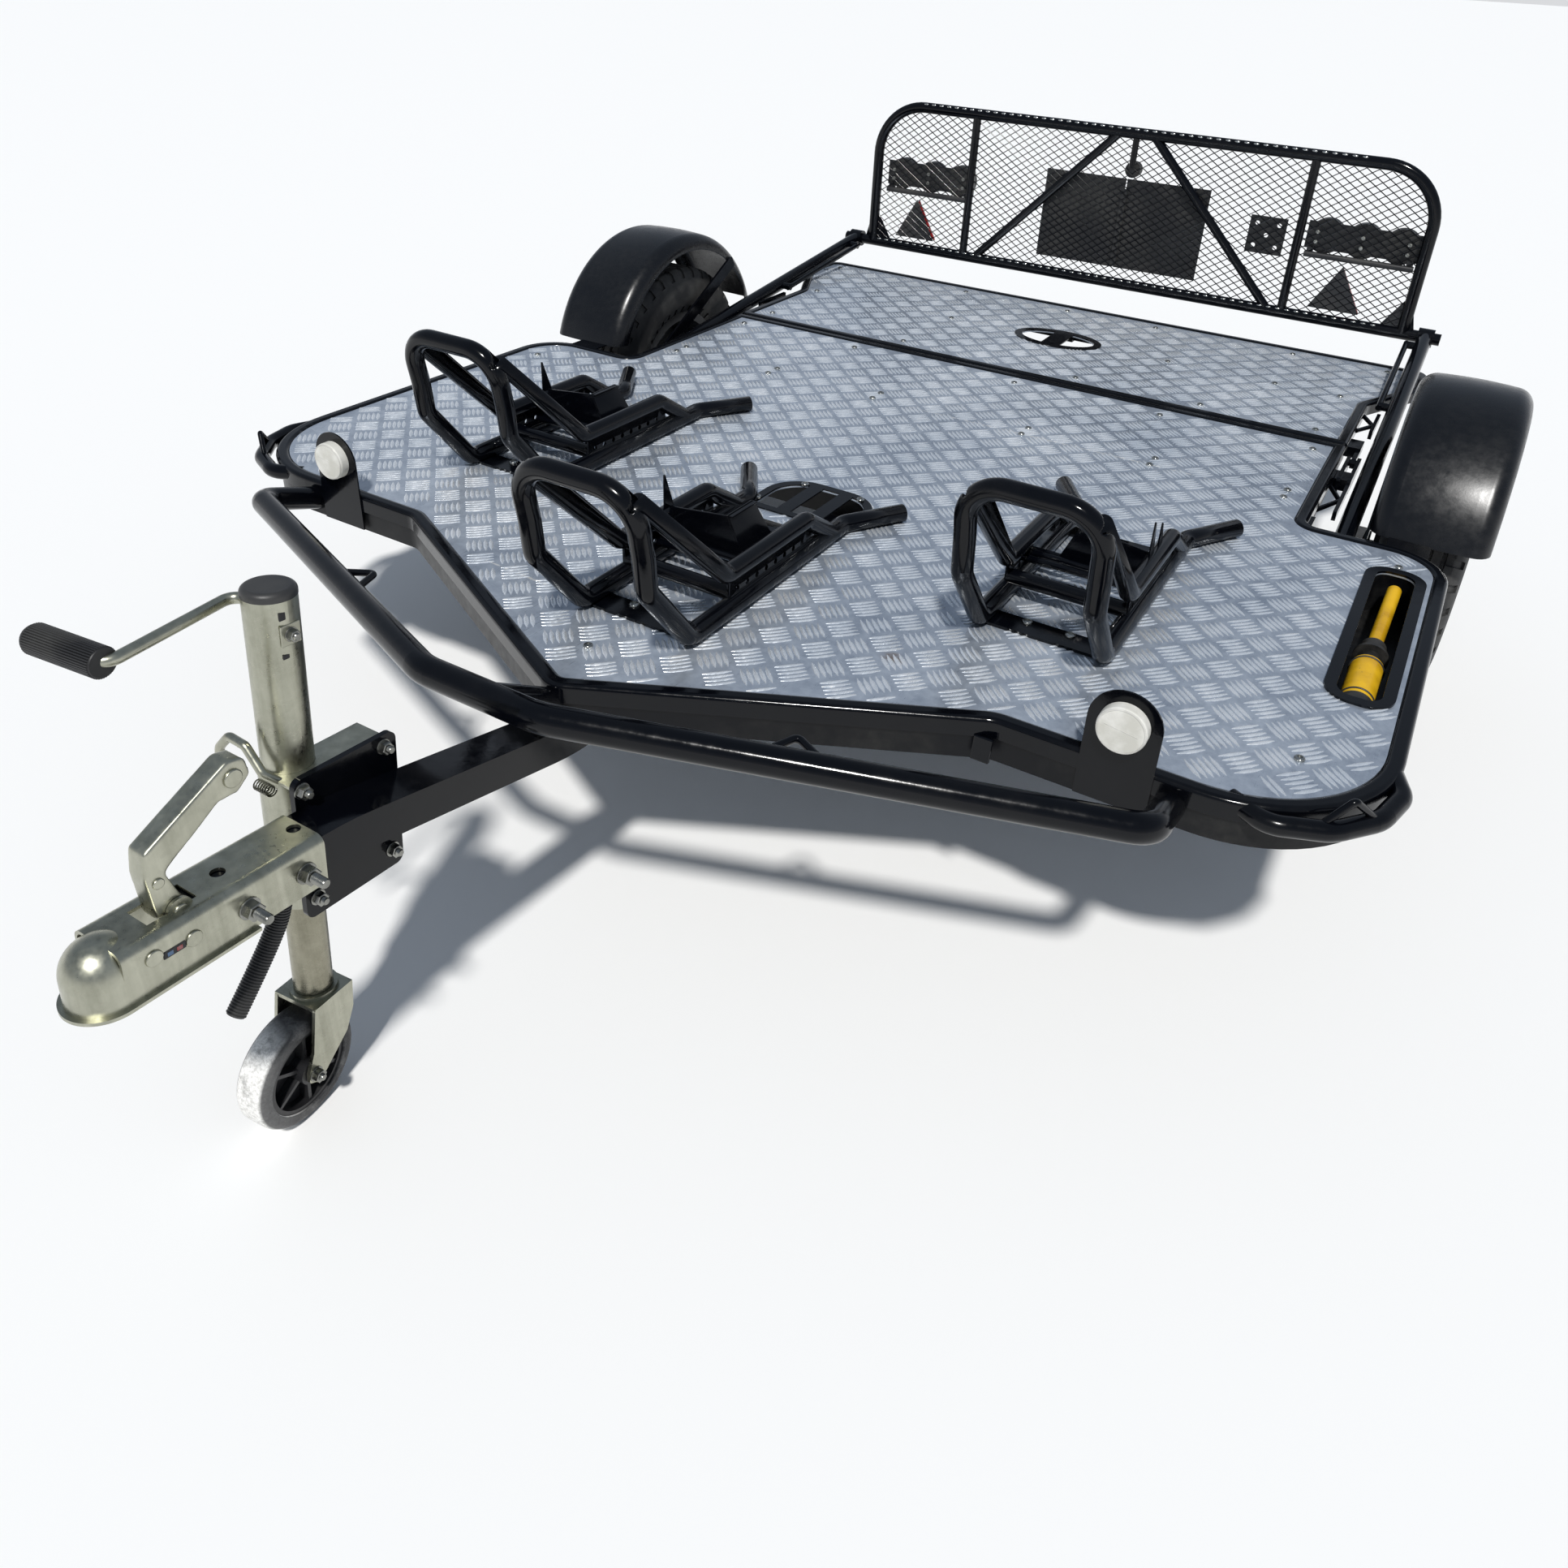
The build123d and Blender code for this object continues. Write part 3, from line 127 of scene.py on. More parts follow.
def set_sockets(node, **values):
    """Sets a node's own input sockets by name, with _ for a space."""
    for name, value in values.items():
        node.inputs[name.replace("_", " ")].default_value = value


def cloud(tree, place, scale, detail=4.0, rough=0.55):
    """A soft noise over the piece, as a 0 to 1 value."""
    noise = tree.nodes.new("ShaderNodeTexNoise")
    set_sockets(noise, Scale=scale, Detail=detail, Roughness=rough)
    tree.links.new(place, noise.inputs["Vector"])
    return noise.outputs["Fac"]


def blend_colours(tree, factor, *stops):
    """A colour that follows a value, through (position, colour) stops."""
    ramp = tree.nodes.new("ShaderNodeValToRGB")
    elements = ramp.color_ramp.elements
    while len(elements) < len(stops):
        elements.new(0.5)
    for element, (position, colour) in zip(elements, stops):
        element.position = position
        element.color = (*colour, 1.0)
    tree.links.new(factor, ramp.inputs["Fac"])
    return ramp.outputs["Color"]


def remap(tree, factor, low, high, new_low, new_high):
    """A value stretched from one range to another, and held at its ends."""
    stretch = tree.nodes.new("ShaderNodeMapRange")
    set_sockets(stretch, From_Min=low, From_Max=high, To_Min=new_low, To_Max=new_high)
    tree.links.new(factor, stretch.inputs["Value"])
    return stretch.outputs["Result"]


def raise_surface(tree, shader, height, strength, distance):
    """A bump on the shader, on top of any that is there."""
    bump = tree.nodes.new("ShaderNodeBump")
    set_sockets(bump, Strength=strength, Distance=distance)
    tree.links.new(height, bump.inputs["Height"])
    if shader.inputs["Normal"].is_linked:
        tree.links.new(shader.inputs["Normal"].links[0].from_socket, bump.inputs["Normal"])
    tree.links.new(bump.outputs["Normal"], shader.inputs["Normal"])


def mix_colours(tree, factor, first, second):
    """One colour over another, by a value."""
    mix = tree.nodes.new("ShaderNodeMix")
    mix.data_type = "RGBA"
    tree.links.new(factor, mix.inputs["Factor"])
    sides = [s for s in mix.inputs if s.type == "RGBA"]
    for socket, colour in zip(sides, (first, second)):
        if isinstance(colour, tuple):
            socket.default_value = (*colour, 1.0)
        else:
            tree.links.new(colour, socket)
    return [s for s in mix.outputs if s.type == "RGBA"][0]


def coat(tree, shader, colour, rough):
    """Gives the shader its colour and its roughness."""
    tree.links.new(colour, shader.inputs["Base Color"])
    tree.links.new(rough, shader.inputs["Roughness"])


def mottled(name, patch, dark, pale, rough, grain, relief):
    """A finish with dark and pale patches that differ in gloss, and a fine raised grain."""
    material, tree, shader, place = new_material(name)
    patches = cloud(tree, place, *patch)
    coat(tree, shader, blend_colours(tree, patches, dark, pale), remap(tree, patches, *rough))
    raise_surface(tree, shader, cloud(tree, place, *grain), *relief)
    return material


def moulded_black(name, shade, gloss, dust):
    """Black moulded plastic with a fine grain and a little dust."""
    pale = tuple(shade * 1.6 + dust * tone for tone in (0.30, 0.29, 0.26))
    return mottled(name, (9.0,), (0.42, (shade, shade, shade * 1.1)), (0.72, pale),
                   (0.35, 0.7, gloss, gloss + 0.22), (900.0, 2.0), (0.25, 0.0004))


hose_plastic = moulded_black("hose_plastic", 0.014, 0.36, 0.12)
hose_radius = 0.0115
hose_route = [
    (0.0, -1.38546, 0.45073),
    (0.0, -1.38745, 0.42481),
    (0.0, -1.42234, 0.37800),
    (0.0, -1.47034, 0.32800),
]
route_curve = bpy.data.curves.new("hose_route", "CURVE")
route_curve.dimensions = "3D"
route_curve.resolution_u = 48
spline = route_curve.splines.new("NURBS")
spline.points.add(len(hose_route) - 1)
for point, position in zip(spline.points, hose_route):
    point.co = (*position, 1.0)
spline.order_u = 3
spline.use_endpoint_u = True
route_object = added("hose_route", route_curve)
bpy.context.view_layer.update()
centre_line = bpy.data.meshes.new_from_object(route_object)
hose_path = [vertex.co.copy() for vertex in centre_line.vertices]
bpy.data.objects.remove(route_object)
bpy.data.meshes.remove(centre_line)

travelled = [0.0]
for before, after in zip(hose_path, hose_path[1:]):
    travelled.append(travelled[-1] + (after - before).length)
rib_pitch = 0.0034
rib_depth = 0.0013
rings_per_rib = 4
ring_count = int(travelled[-1] / rib_pitch * rings_per_rib)
hose_points = []
hose_faces = []
sides = 20
for ring in range(ring_count + 1):
    distance = travelled[-1] * ring / ring_count
    step = max(i for i, gone in enumerate(travelled[:-1]) if gone <= distance + 1e-9)
    run = hose_path[step + 1] - hose_path[step]
    middle = hose_path[step] + run * ((distance - travelled[step]) / run.length)
    across = Vector((1, 0, 0))
    up = across.cross(run.normalized())
    swell = hose_radius - rib_depth * (ring % rings_per_rib in (1, 2))
    for side in range(sides):
        angle = 2 * math.pi * side / sides
        hose_points.append(middle + swell * (math.cos(angle) * across + math.sin(angle) * up))
for ring in range(ring_count):
    for side in range(sides):
        near = ring * sides + side
        far = ring * sides + (side + 1) % sides
        hose_faces.append((near, far, far + sides, near + sides))
hose_faces.append(tuple(range(sides))[::-1])
hose_faces.append(tuple(ring_count * sides + side for side in range(sides)))
hose_mesh = bpy.data.meshes.new("conduit_hose")
hose_mesh.from_pydata(hose_points, [], hose_faces)
hose = added("conduit_hose", hose_mesh)
all_over(hose, bpy.ops.mesh.normals_make_consistent, inside=False)
smooth(hose, 50)
hose_mesh.materials.append(hose_plastic)
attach(hose, "root")
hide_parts("conduit")


# The chequer plate of the deck and of the tilting panel. It is rolled aluminium sheet, dulled
# and scratched by use, with a rust stain and two long white scuffs on the deck. Its blue tint
# is a painted reflection of the sky.
def spot(tree, place, centre, half, turn=0.0):
    """A 0 to 1 value that is highest at one place on the piece and fades to its edge."""
    mapping = tree.nodes.new("ShaderNodeMapping")
    mapping.vector_type = "TEXTURE"
    set_sockets(mapping, Location=centre, Rotation=(0, 0, turn), Scale=half)
    gradient = tree.nodes.new("ShaderNodeTexGradient")
    gradient.gradient_type = "SPHERICAL"
    tree.links.new(place, mapping.inputs["Vector"])
    tree.links.new(mapping.outputs["Vector"], gradient.inputs["Vector"])
    return gradient.outputs["Fac"]


def stretched(tree, place, scale, turn=0.0):
    """The piece's coordinates drawn out one way, for streaks and brush marks."""
    mapping = tree.nodes.new("ShaderNodeMapping")
    set_sockets(mapping, Scale=scale, Rotation=(0, 0, turn))
    tree.links.new(place, mapping.inputs["Vector"])
    return mapping.outputs["Vector"]


def combine(tree, first, second, how="MULTIPLY"):
    """Two values put together by one sum."""
    sum_node = tree.nodes.new("ShaderNodeMath")
    sum_node.operation = how
    for socket, value in zip(sum_node.inputs, (first, second)):
        if isinstance(value, float):
            socket.default_value = value
        else:
            tree.links.new(value, socket)
    return sum_node.outputs[0]


def rolled_aluminium(name, dark, pale, gloss, marked):
    """Rolled plate: cloudy grey with fine rolling lines, scuffs and, on the deck, stains."""
    material, tree, shader, place = new_material(name)
    shader.inputs["Metallic"].default_value = 0.62
    clouds = cloud(tree, place, 3.2, 6.0, 0.65)
    fine = cloud(tree, place, 42.0, 5.0, 0.7)
    lines = cloud(tree, stretched(tree, place, (260.0, 5.0, 1.0)), 1.0, 3.0)
    tone = combine(tree, combine(tree, clouds, 0.6), combine(tree, fine, 0.4), "ADD")
    colour = blend_colours(tree, tone, (0.36, dark), (0.64, pale))
    scuffs = cloud(tree, stretched(tree, place, (7.0, 90.0, 1.0), 0.6), 1.0, 5.0, 0.75)
    colour = mix_colours(tree, remap(tree, scuffs, 0.64, 0.74, 0.0, 0.55), colour, (0.74, 0.76, 0.80))
    rough = remap(tree, combine(tree, tone, lines, "ADD"), 0.75, 1.25, gloss, gloss + 0.22)
    sheet_top = 0.479
    if marked:
        breaks = remap(tree, fine, 0.40, 0.52, 0.0, 1.0)
        for centre, half, angle in (
            ((0.29, 0.393, sheet_top + 0.0005), (0.46, 0.0032, 0.02), 0.004),
            ((-0.242, -0.718, sheet_top + 0.0005), (0.11, 0.0030, 0.02), -0.05),
        ):
            line = remap(tree, spot(tree, place, centre, half, angle), 0.02, 0.25, 0.0, 1.0)
            colour = mix_colours(tree, combine(tree, line, breaks), colour, (0.86, 0.86, 0.84))
        for x, y, size in ((0.368, -0.597, 0.030), (0.72, -0.56, 0.05)):
            round_spot = spot(tree, place, (x, y, sheet_top), (size, size * 0.7, 0.03))
            stain = remap(tree, round_spot, 0.1, 0.6, 0.0, 0.8)
            patchy = combine(tree, stain, remap(tree, fine, 0.38, 0.6, 0.2, 1.0))
            colour = mix_colours(tree, patchy, colour, (0.17, 0.11, 0.07))
    coat(tree, shader, colour, rough)
    raise_surface(tree, shader, lines, 0.10, 0.0006)
    raise_surface(tree, shader, fine, 0.12, 0.0010)
    return material


def give_finish(material, *names):
    """Puts a finish on every slot of these carried-over pieces."""
    for name in names:
        for slot in nodes[name].material_slots:
            slot.material = material
        if not nodes[name].material_slots:
            nodes[name].data.materials.append(material)


# The plate's blue-grey colours carry a painted reflection of the sky.
plate_metal_painted_sky = rolled_aluminium("plate_metal_painted_sky", (0.30, 0.35, 0.43), (0.60, 0.66, 0.74), 0.24, True)
# The bars' paler colour is a painted highlight.
bar_metal_painted_highlight = rolled_aluminium("bar_metal_painted_highlight", (0.66, 0.72, 0.79), (0.94, 0.96, 0.98), 0.16, False)
give_finish(plate_metal_painted_sky, "deck_plate", "panel_plate")


# The raised bars of the chequer pattern: five short bars side by side, then five the other way,
# across the whole sheet. They stand 1.5 mm proud and are coloured brighter than the plate, a
# painted highlight.
def drop_choice(piece):
    """Out of edit mode, leaves nothing of the mesh selected."""
    bpy.ops.object.mode_set(mode="OBJECT")
    for part in (piece.data.polygons, piece.data.edges, piece.data.vertices):
        part.foreach_set("select", [False] * len(part))


def choose(piece, wanted):
    """In edit mode, selects only the vertices whose place passes the test."""
    drop_choice(piece)
    for vertex in piece.data.vertices:
        vertex.select = bool(wanted(vertex.co))
    bpy.ops.object.mode_set(mode="EDIT")
    bpy.ops.mesh.select_mode(type="VERT")


def settle(piece):
    """Puts the piece's place and turn into its mesh, and leaves its object at the origin."""
    hold(piece)
    bpy.ops.object.transform_apply(location=True, rotation=True, scale=True)


def started(add, stretch=(1, 1, 1), location=(0, 0, 0), **sizes):
    """A primitive at its size and place, ready to be shaped."""
    clear_selection()
    add(location=location, **sizes)
    piece = bpy.context.object
    piece.scale = stretch
    settle(piece)
    return piece


def joined(pieces, name):
    """Several pieces made one mesh, with one name."""
    clear_selection()
    for piece in pieces:
        piece.select_set(True)
    bpy.context.view_layer.objects.active = pieces[0]
    if len(pieces) > 1:
        bpy.ops.object.join()
    pieces[0].name = name
    pieces[0].data.name = name
    settle(pieces[0])
    return pieces[0]


def copied(piece, shift):
    """A copy with its own mesh, moved by a shift."""
    hold(piece)
    bpy.ops.object.duplicate()
    twin = bpy.context.object
    twin.location = Vector(twin.location) + Vector(shift)
    settle(twin)
    return twin


def repeat(piece, count, step):
    """A row of copies at a constant step, made one mesh."""
    hold(piece)
    row = piece.modifiers.new("row", "ARRAY")
    row.count = count
    row.use_relative_offset = False
    row.use_constant_offset = True
    row.constant_offset_displace = step
    bpy.ops.object.modifier_apply(modifier=row.name)


def tread_bars(name, plate, body):
    """The raised bars over one sheet, left off where the sheet has a hole or ends."""
    low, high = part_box(plate)
    pitch = 0.0755
    half_length = 0.0222
    proud = 0.0015
    bar_step = 0.0094
    corners = 12
    bar = started(bpy.ops.mesh.primitive_cylinder_add, (0.185, 1.0, 1.0), (0, 0, high.z + proud / 2),
                  vertices=6, radius=half_length, depth=proud, end_fill_type="NGON")
    choose(bar, lambda place: place.z > high.z + 0.0007)
    middle = (0, 0, high.z)
    bpy.ops.transform.resize(value=(0.34, 0.90, 1.0), center_override=middle)
    choose(bar, lambda place: abs(place.x) > 0.001)
    bpy.ops.transform.resize(value=(1.0, 0.72, 1.0), center_override=middle)
    bpy.ops.object.mode_set(mode="OBJECT")
    bar.location = (-2 * bar_step, 0, 0)
    settle(bar)
    repeat(bar, 5, (bar_step, 0, 0))
    other = copied(bar, (0, 0, 0))
    bar.rotation_euler = (0, 0, math.radians(45))
    other.rotation_euler = (0, 0, math.radians(-45))
    other.location = (pitch / 2, pitch / 2, 0)
    settle(bar)
    settle(other)
    cell = joined([bar, other], name)
    cell.location = (math.floor(low.x / pitch) * pitch, math.floor(low.y / pitch) * pitch, 0)
    settle(cell)
    repeat(cell, int((high.x - low.x) / pitch) + 2, (pitch, 0, 0))
    repeat(cell, int((high.y - low.y) / pitch) + 2, (0, pitch, 0))

    sheet = nodes[plate].data
    below = BVHTree.FromPolygons(
        [vertex.co for vertex in sheet.vertices], [face.vertices for face in sheet.polygons]
    )
    vertices = cell.data.vertices
    off_sheet = set()
    for start in range(0, len(vertices), corners):
        for place in (vertices[start + i].co for i in range(corners)):
            hit = below.ray_cast(Vector((place.x, place.y, high.z + 0.05)), Vector((0, 0, -1)))[0]
            if hit is None or hit.z < high.z - 0.001:
                off_sheet.add(start)
                break
    hold(cell)
    drop_choice(cell)
    for vertex in vertices:
        vertex.select = vertex.index - vertex.index % corners in off_sheet
    bpy.ops.object.mode_set(mode="EDIT")
    bpy.ops.mesh.delete(type="VERT")
    smooth(cell, 60)
    cell.data.materials.append(bar_metal_painted_highlight)
    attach(cell, body)


tread_bars("deck_tread", "deck_plate", "root")
tread_bars("panel_tread", "panel_plate", "rear_panel")


# The screws that hold the sheets down. They are bright zinc dome heads with a hexagon socket,
# in rows over the frame's cross members, two by two in the middle of the deck.
def zinc(name, dark, pale, gloss):
    """Zinc-coated steel: cloudy, slightly yellow, with fine spangle and dull patches."""
    material, tree, shader, place = new_material(name)
    shader.inputs["Metallic"].default_value = 1.0
    clouds = cloud(tree, place, 16.0, 6.0, 0.65)
    fine = cloud(tree, place, 170.0, 3.0)
    cells = tree.nodes.new("ShaderNodeTexVoronoi")
    cells.inputs["Scale"].default_value = 130.0
    tree.links.new(place, cells.inputs["Vector"])
    flake = remap(tree, cells.outputs["Color"], 0.0, 1.0, 0.0, 0.05)
    streaks = cloud(tree, stretched(tree, place, (55.0, 55.0, 4.0)), 1.0, 5.0)
    tone = combine(tree, combine(tree, combine(tree, clouds, 0.4), flake, "ADD"),
                   combine(tree, streaks, 0.55), "ADD")
    coat(tree, shader, blend_colours(tree, tone, (0.30, dark), (0.78, pale)),
         remap(tree, combine(tree, clouds, fine, "ADD"), 0.7, 1.3, gloss, gloss + 0.18))
    raise_surface(tree, shader, fine, 0.04, 0.0004)
    return material


bright_zinc = zinc("bright_zinc", (0.34, 0.34, 0.32), (0.62, 0.62, 0.59), 0.14)


def dome_screw(radius, height):
    """One dome-headed screw, its flat side down at the origin, with its socket sunk in."""
    screw = started(bpy.ops.mesh.primitive_cylinder_add, location=(0, 0, height / 2),
                    vertices=18, radius=radius, depth=height)
    choose(screw, lambda place: place.z > height * 0.6)
    bpy.ops.mesh.bevel(offset=height * 0.62, segments=3, profile=0.5)
    choose(screw, lambda place: place.z > height * 0.97)
    bpy.ops.mesh.inset(thickness=radius * 0.10, depth=0)
    choose(screw, lambda place: place.z > height * 0.97 and place.xy.length < radius * 0.60)
    bpy.ops.transform.resize(value=(0.9, 0.9, 1.0), center_override=(0, 0, height))
    bpy.ops.mesh.extrude_region_move(TRANSFORM_OT_translate={"value": (0, 0, -height * 0.45)})
    bpy.ops.object.mode_set(mode="OBJECT")
    return screw


def fasteners(name, body, twins, degrees, finish):
    """Screws, nuts or rivets of one kind, made one zinc piece."""
    whole = joined(twins, name)
    smooth(whole, degrees)
    whole.data.materials.append(finish)
    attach(whole, body)


def screws_at(name, body, places, radius=0.0075, height=0.0042):
    """A set of screws of one kind as one mesh."""
    first = dome_screw(radius, height)
    twins = [copied(first, place) for place in places]
    bpy.data.objects.remove(first)
    fasteners(name, body, twins, 35, bright_zinc)


deck_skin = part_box("deck_plate")[1].z
screw_rows = [(x, 0.705) for x in (-0.742, -0.402, 0.042, 0.402, 0.742)]
screw_rows += [(x, y) for y in (0.432, 0.390) for x in (-0.740, 0.740, -0.469, 0.469, -0.184, 0.184)]
screw_rows += [(-0.987, 0.153), (0.977, 0.190), (0.934, -0.513), (-0.021, -0.828)]
screws_at("deck_screws", "root", [(x, y, deck_skin) for x, y in screw_rows])
strap_top = deck_skin + 0.0035
chock_feet = {"left": (-0.533, -0.389), "centre": (0.0, -0.699), "right": (0.533, -0.389)}
screws_at("strap_screws", "root",
          [(x + side * 0.0355, y, strap_top) for x, y in chock_feet.values() for side in (-1, 1)],
          0.0085, 0.0055)
ring_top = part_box("opening_trims")[1].z
screws_at("ring_screws", "root",
          [(x, y, ring_top) for x, y in
           ((-0.056, -0.137), (0.065, -0.1365), (-0.0995, -0.24), (0.0995, -0.24))])
panel_rows = [(x, 0.839) for x in (-0.735, -0.326, 0.152, 0.462, 0.725)]
panel_rows += [(x, 1.125) for x in (-0.756, -0.315, 0.305, 0.578, 0.735)]
panel_rows += [(x, 1.419) for x in (-0.840, -0.399, -0.074, 0.189, 0.567, 0.808)]
screws_at("panel_screws", "rear_panel", [(x, y, deck_skin) for x, y in panel_rows])


# The black work: deck frame, trims, nose bar, chocks, hinges, gate and drawbar. All are steel
# tube and sheet, welded and painted in thick gloss black with a slight orange peel.
def gloss_black(name, gloss, dust, shine):
    """Thick gloss black paint with a fine ripple, a little dust and a few dull rubs."""
    material, tree, shader, place = new_material(name)
    clouds = cloud(tree, place, 5.0, 6.0, 0.6)
    fine = cloud(tree, place, 60.0, 4.0, 0.6)
    peel = cloud(tree, place, 210.0, 1.0)
    dusty = combine(tree, remap(tree, clouds, 0.45, 0.72, 0.0, dust), remap(tree, fine, 0.35, 0.7, 0.3, 1.0))
    colour = mix_colours(tree, dusty, (0.0012, 0.0016, 0.0030), (0.12, 0.115, 0.10))
    coat(tree, shader, colour,
         remap(tree, combine(tree, clouds, fine, "ADD"), 0.75, 1.3, gloss, gloss + 0.14))
    shader.inputs["Specular IOR Level"].default_value = shine
    raise_surface(tree, shader, peel, 0.05, 0.0008)
    return material


frame_paint = gloss_black("frame_paint", 0.08, 0.03, 0.26)
fender_paint = gloss_black("fender_paint", 0.20, 0.05, 0.50)
under_paint = gloss_black("under_paint", 0.30, 0.22, 0.22)
give_finish(
    frame_paint, "deck_trim", "panel_trim", "panel_oval", "opening_trims", "nose_bar", "corner_bars",
    "gate_frame", "gate_arms", "marker_brackets", "drawbar", "jack_plate", "deck_hinges",
    "panel_hinges", "panel_trusses", "arm_brackets", "fender_stays",
)
give_finish(fender_paint, "left_fender", "right_fender")
give_finish(under_paint, "deck_frame", "panel_frame", "axle_beam", "swing_arms", "pump_tray")


# The chocks. Each is bent from round tube: a hoop in front, two bottom rails and two braces whose
# ends are drawn in under the hoop's bends and welded there.
def taken_over(node, name):
    """A merged copy of a carried-over piece, ready to be worked on."""
    mesh = nodes[node].data.copy()
    mesh.name = name
    mesh.materials.clear()
    piece = added(name, mesh)
    all_over(piece, bpy.ops.mesh.remove_doubles, threshold=0.00002)
    return piece


rail_half = 0.100
end_reach = 0.019
drawn_down = 0.024
drawn_in = 0.012
for name, (centre_x, strap_y) in chock_feet.items():
    chock = taken_over(name + "_chock", name + "_chock_tubes")
    for side in (-1, 1):
        brace_end = Vector((centre_x + side * rail_half, strap_y - 0.162, 0.762))
        valley = Vector((centre_x + side * rail_half, strap_y + 0.0507, 0.556))
        brace_way = (valley - brace_end).normalized()
        choose(chock, lambda place: (place - brace_end).length < end_reach
               and abs((place - brace_end).dot(brace_way)) < 0.002)
        bpy.ops.transform.translate(value=brace_way * drawn_down - Vector((side * drawn_in, 0, 0)))
    smooth(chock, 32)
    chock.data.materials.append(frame_paint)
    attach(chock, "root")
    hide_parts(name + "_chock")


# The wheel stops. Each is folded from steel sheet: a tent-shaped block on the pump side of the
# chock, a low front sheet with pointed ears, two side sheets, and three round rods in front.
def worked_block(corner, opposite, edge, shape=()):
    """A box between two corners, shaped by a move of chosen corners, with softened edges."""
    stretch = [abs(b - a) for a, b in zip(corner, opposite)]
    middle = [(a + b) / 2 for a, b in zip(corner, opposite)]
    block = started(bpy.ops.mesh.primitive_cube_add, stretch, middle, size=1)
    for wanted, move in shape:
        choose(block, wanted)
        bpy.ops.transform.translate(value=move)
    all_over(block, bpy.ops.mesh.bevel, offset=edge, segments=2)
    return block


def facing(piece, place, axis):
    """Turns a piece made upright at the origin to face along an axis, and puts it there."""
    piece.rotation_mode = "QUATERNION"
    piece.rotation_quaternion = Vector((0, 0, 1)).rotation_difference(Vector(axis).normalized())
    piece.location = place
    settle(piece)
    return piece


def cross_rod(start, finish, radius):
    """A straight round rod with chamfered ends."""
    run = Vector(finish) - Vector(start)
    rod = started(bpy.ops.mesh.primitive_cylinder_add, vertices=20, radius=radius, depth=run.length)
    choose(rod, lambda place: abs(place.z) > run.length * 0.49)
    bpy.ops.mesh.bevel(offset=radius * 0.2, segments=1)
    bpy.ops.object.mode_set(mode="OBJECT")
    return facing(rod, (Vector(start) + Vector(finish)) / 2, run)


for name, (centre_x, strap_y) in chock_feet.items():
    low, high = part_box(name + "_wheel_stop")
    wall = high.x - 0.0005
    hand = -1 if name == "right" else 1
    ear_wall = centre_x - hand * (wall - centre_x)
    near = low.y + 0.052
    far = high.y - 0.012
    foot_z = low.z + 0.008
    ridge_z = low.z + 0.078
    halfway = (foot_z + ridge_z) / 2
    ridge_x = centre_x + hand * 0.020
    side_sheet = worked_block(
        (ridge_x, near, foot_z), (ridge_x + hand * 0.004, far, ridge_z), 0.0007,
        ((lambda place: place.z < halfway, (hand * 0.030, 0, 0)),
         (lambda place: place.z > halfway and place.y > near + 0.03, (0, -0.020, 0))),
    )
    ridge = worked_block(
        (ridge_x - hand * 0.002, near, ridge_z - 0.003),
        (ridge_x + hand * 0.010, far - 0.020, ridge_z), 0.0008,
    )
    front_sheet = worked_block(
        (ear_wall, near, foot_z), (ridge_x, near + 0.003, ridge_z - 0.001), 0.0007,
        ((lambda place: place.z < halfway and abs(place.x - ridge_x) < 0.01, (hand * 0.032, 0, 0)),
         (lambda place: place.z > halfway and abs(place.x - ridge_x) > 0.01, (0, 0, -0.014))),
    )
    pieces = [side_sheet, ridge, front_sheet]
    for side in (-1, 1):
        edge_x = centre_x + side * (wall - centre_x)
        pieces.append(worked_block(
            (edge_x, low.y + 0.018, foot_z - 0.006), (edge_x - side * 0.003, far, foot_z + 0.030), 0.0006,
            ((lambda place: place.z > halfway - 0.01 and place.y < near, (0, 0.020, 0)),),
        ))
    for start, tall in ((near - 0.014, 0.0), (near + 0.040, 0.022)):
        tip = high.z - 0.001 - tall
        if start > near and name != "right":
            continue
        pieces.append(worked_block(
            (ear_wall, start, foot_z + 0.022), (ear_wall + hand * 0.003, start + 0.038, tip), 0.0006,
            ((lambda place: place.z > tip - 0.01 and place.y > start + 0.02, (0, -0.035, 0)),),
        ))
    for back, up, radius in ((0.020, 0.010, 0.0062), (0.041, 0.012, 0.0062), (0.060, 0.010, 0.0045)):
        pieces.append(cross_rod(
            (centre_x - (wall - centre_x), low.y + back, low.z + up),
            (wall, low.y + back, low.z + up), radius,
        ))
    stop = joined(pieces, name + "_tyre_stop")
    smooth(stop, 22)
    stop.data.materials.append(frame_paint)
    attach(stop, "root")
    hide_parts(name + "_wheel_stop")


# A small lug under the deck's front edge on the pump side. It is bent flat steel with a rounded
# end, welded to the front rail, and takes a hook.
lug = worked_block((0.535, -0.678, 0.418), (0.563, -0.672, 0.455), 0.0018,
                   ((lambda place: place.z < 0.43, (0, -0.006, 0)),))
lug.name = "front_lug"
lug.data.materials.append(frame_paint)
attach(lug, "root")


# The coupling, its lever, the jack and its clamp. They are pressed and folded steel, zinc coated
# and slightly yellow, with streaks where they have been wiped and a few grey rubs.
hitch_zinc = zinc("hitch_zinc", (0.28, 0.28, 0.22), (0.60, 0.595, 0.49), 0.23)
give_finish(hitch_zinc, "coupling_housing", "jack_clamp", "clamp_handle", "jack_outer_tube",
            "jockey_fork", "crank")

mount = frame["record"]["mounts"][0]
ball = Vector(mount["pos_m"])
joints = {joint["name"]: joint for joint in frame["joints"]}
hitch_up = Vector(joints["jack_wind"]["axis"]).normalized()
hitch_back = Vector((0, hitch_up.z, -hitch_up.y))


def at_hitch(x, back, up):
    """A place on the coupling or jack, in millimetres from the ball's centre, as they lean."""
    return ball + Vector((x, 0, 0)) * 0.001 + hitch_back * (back * 0.001) + hitch_up * (up * 0.001)


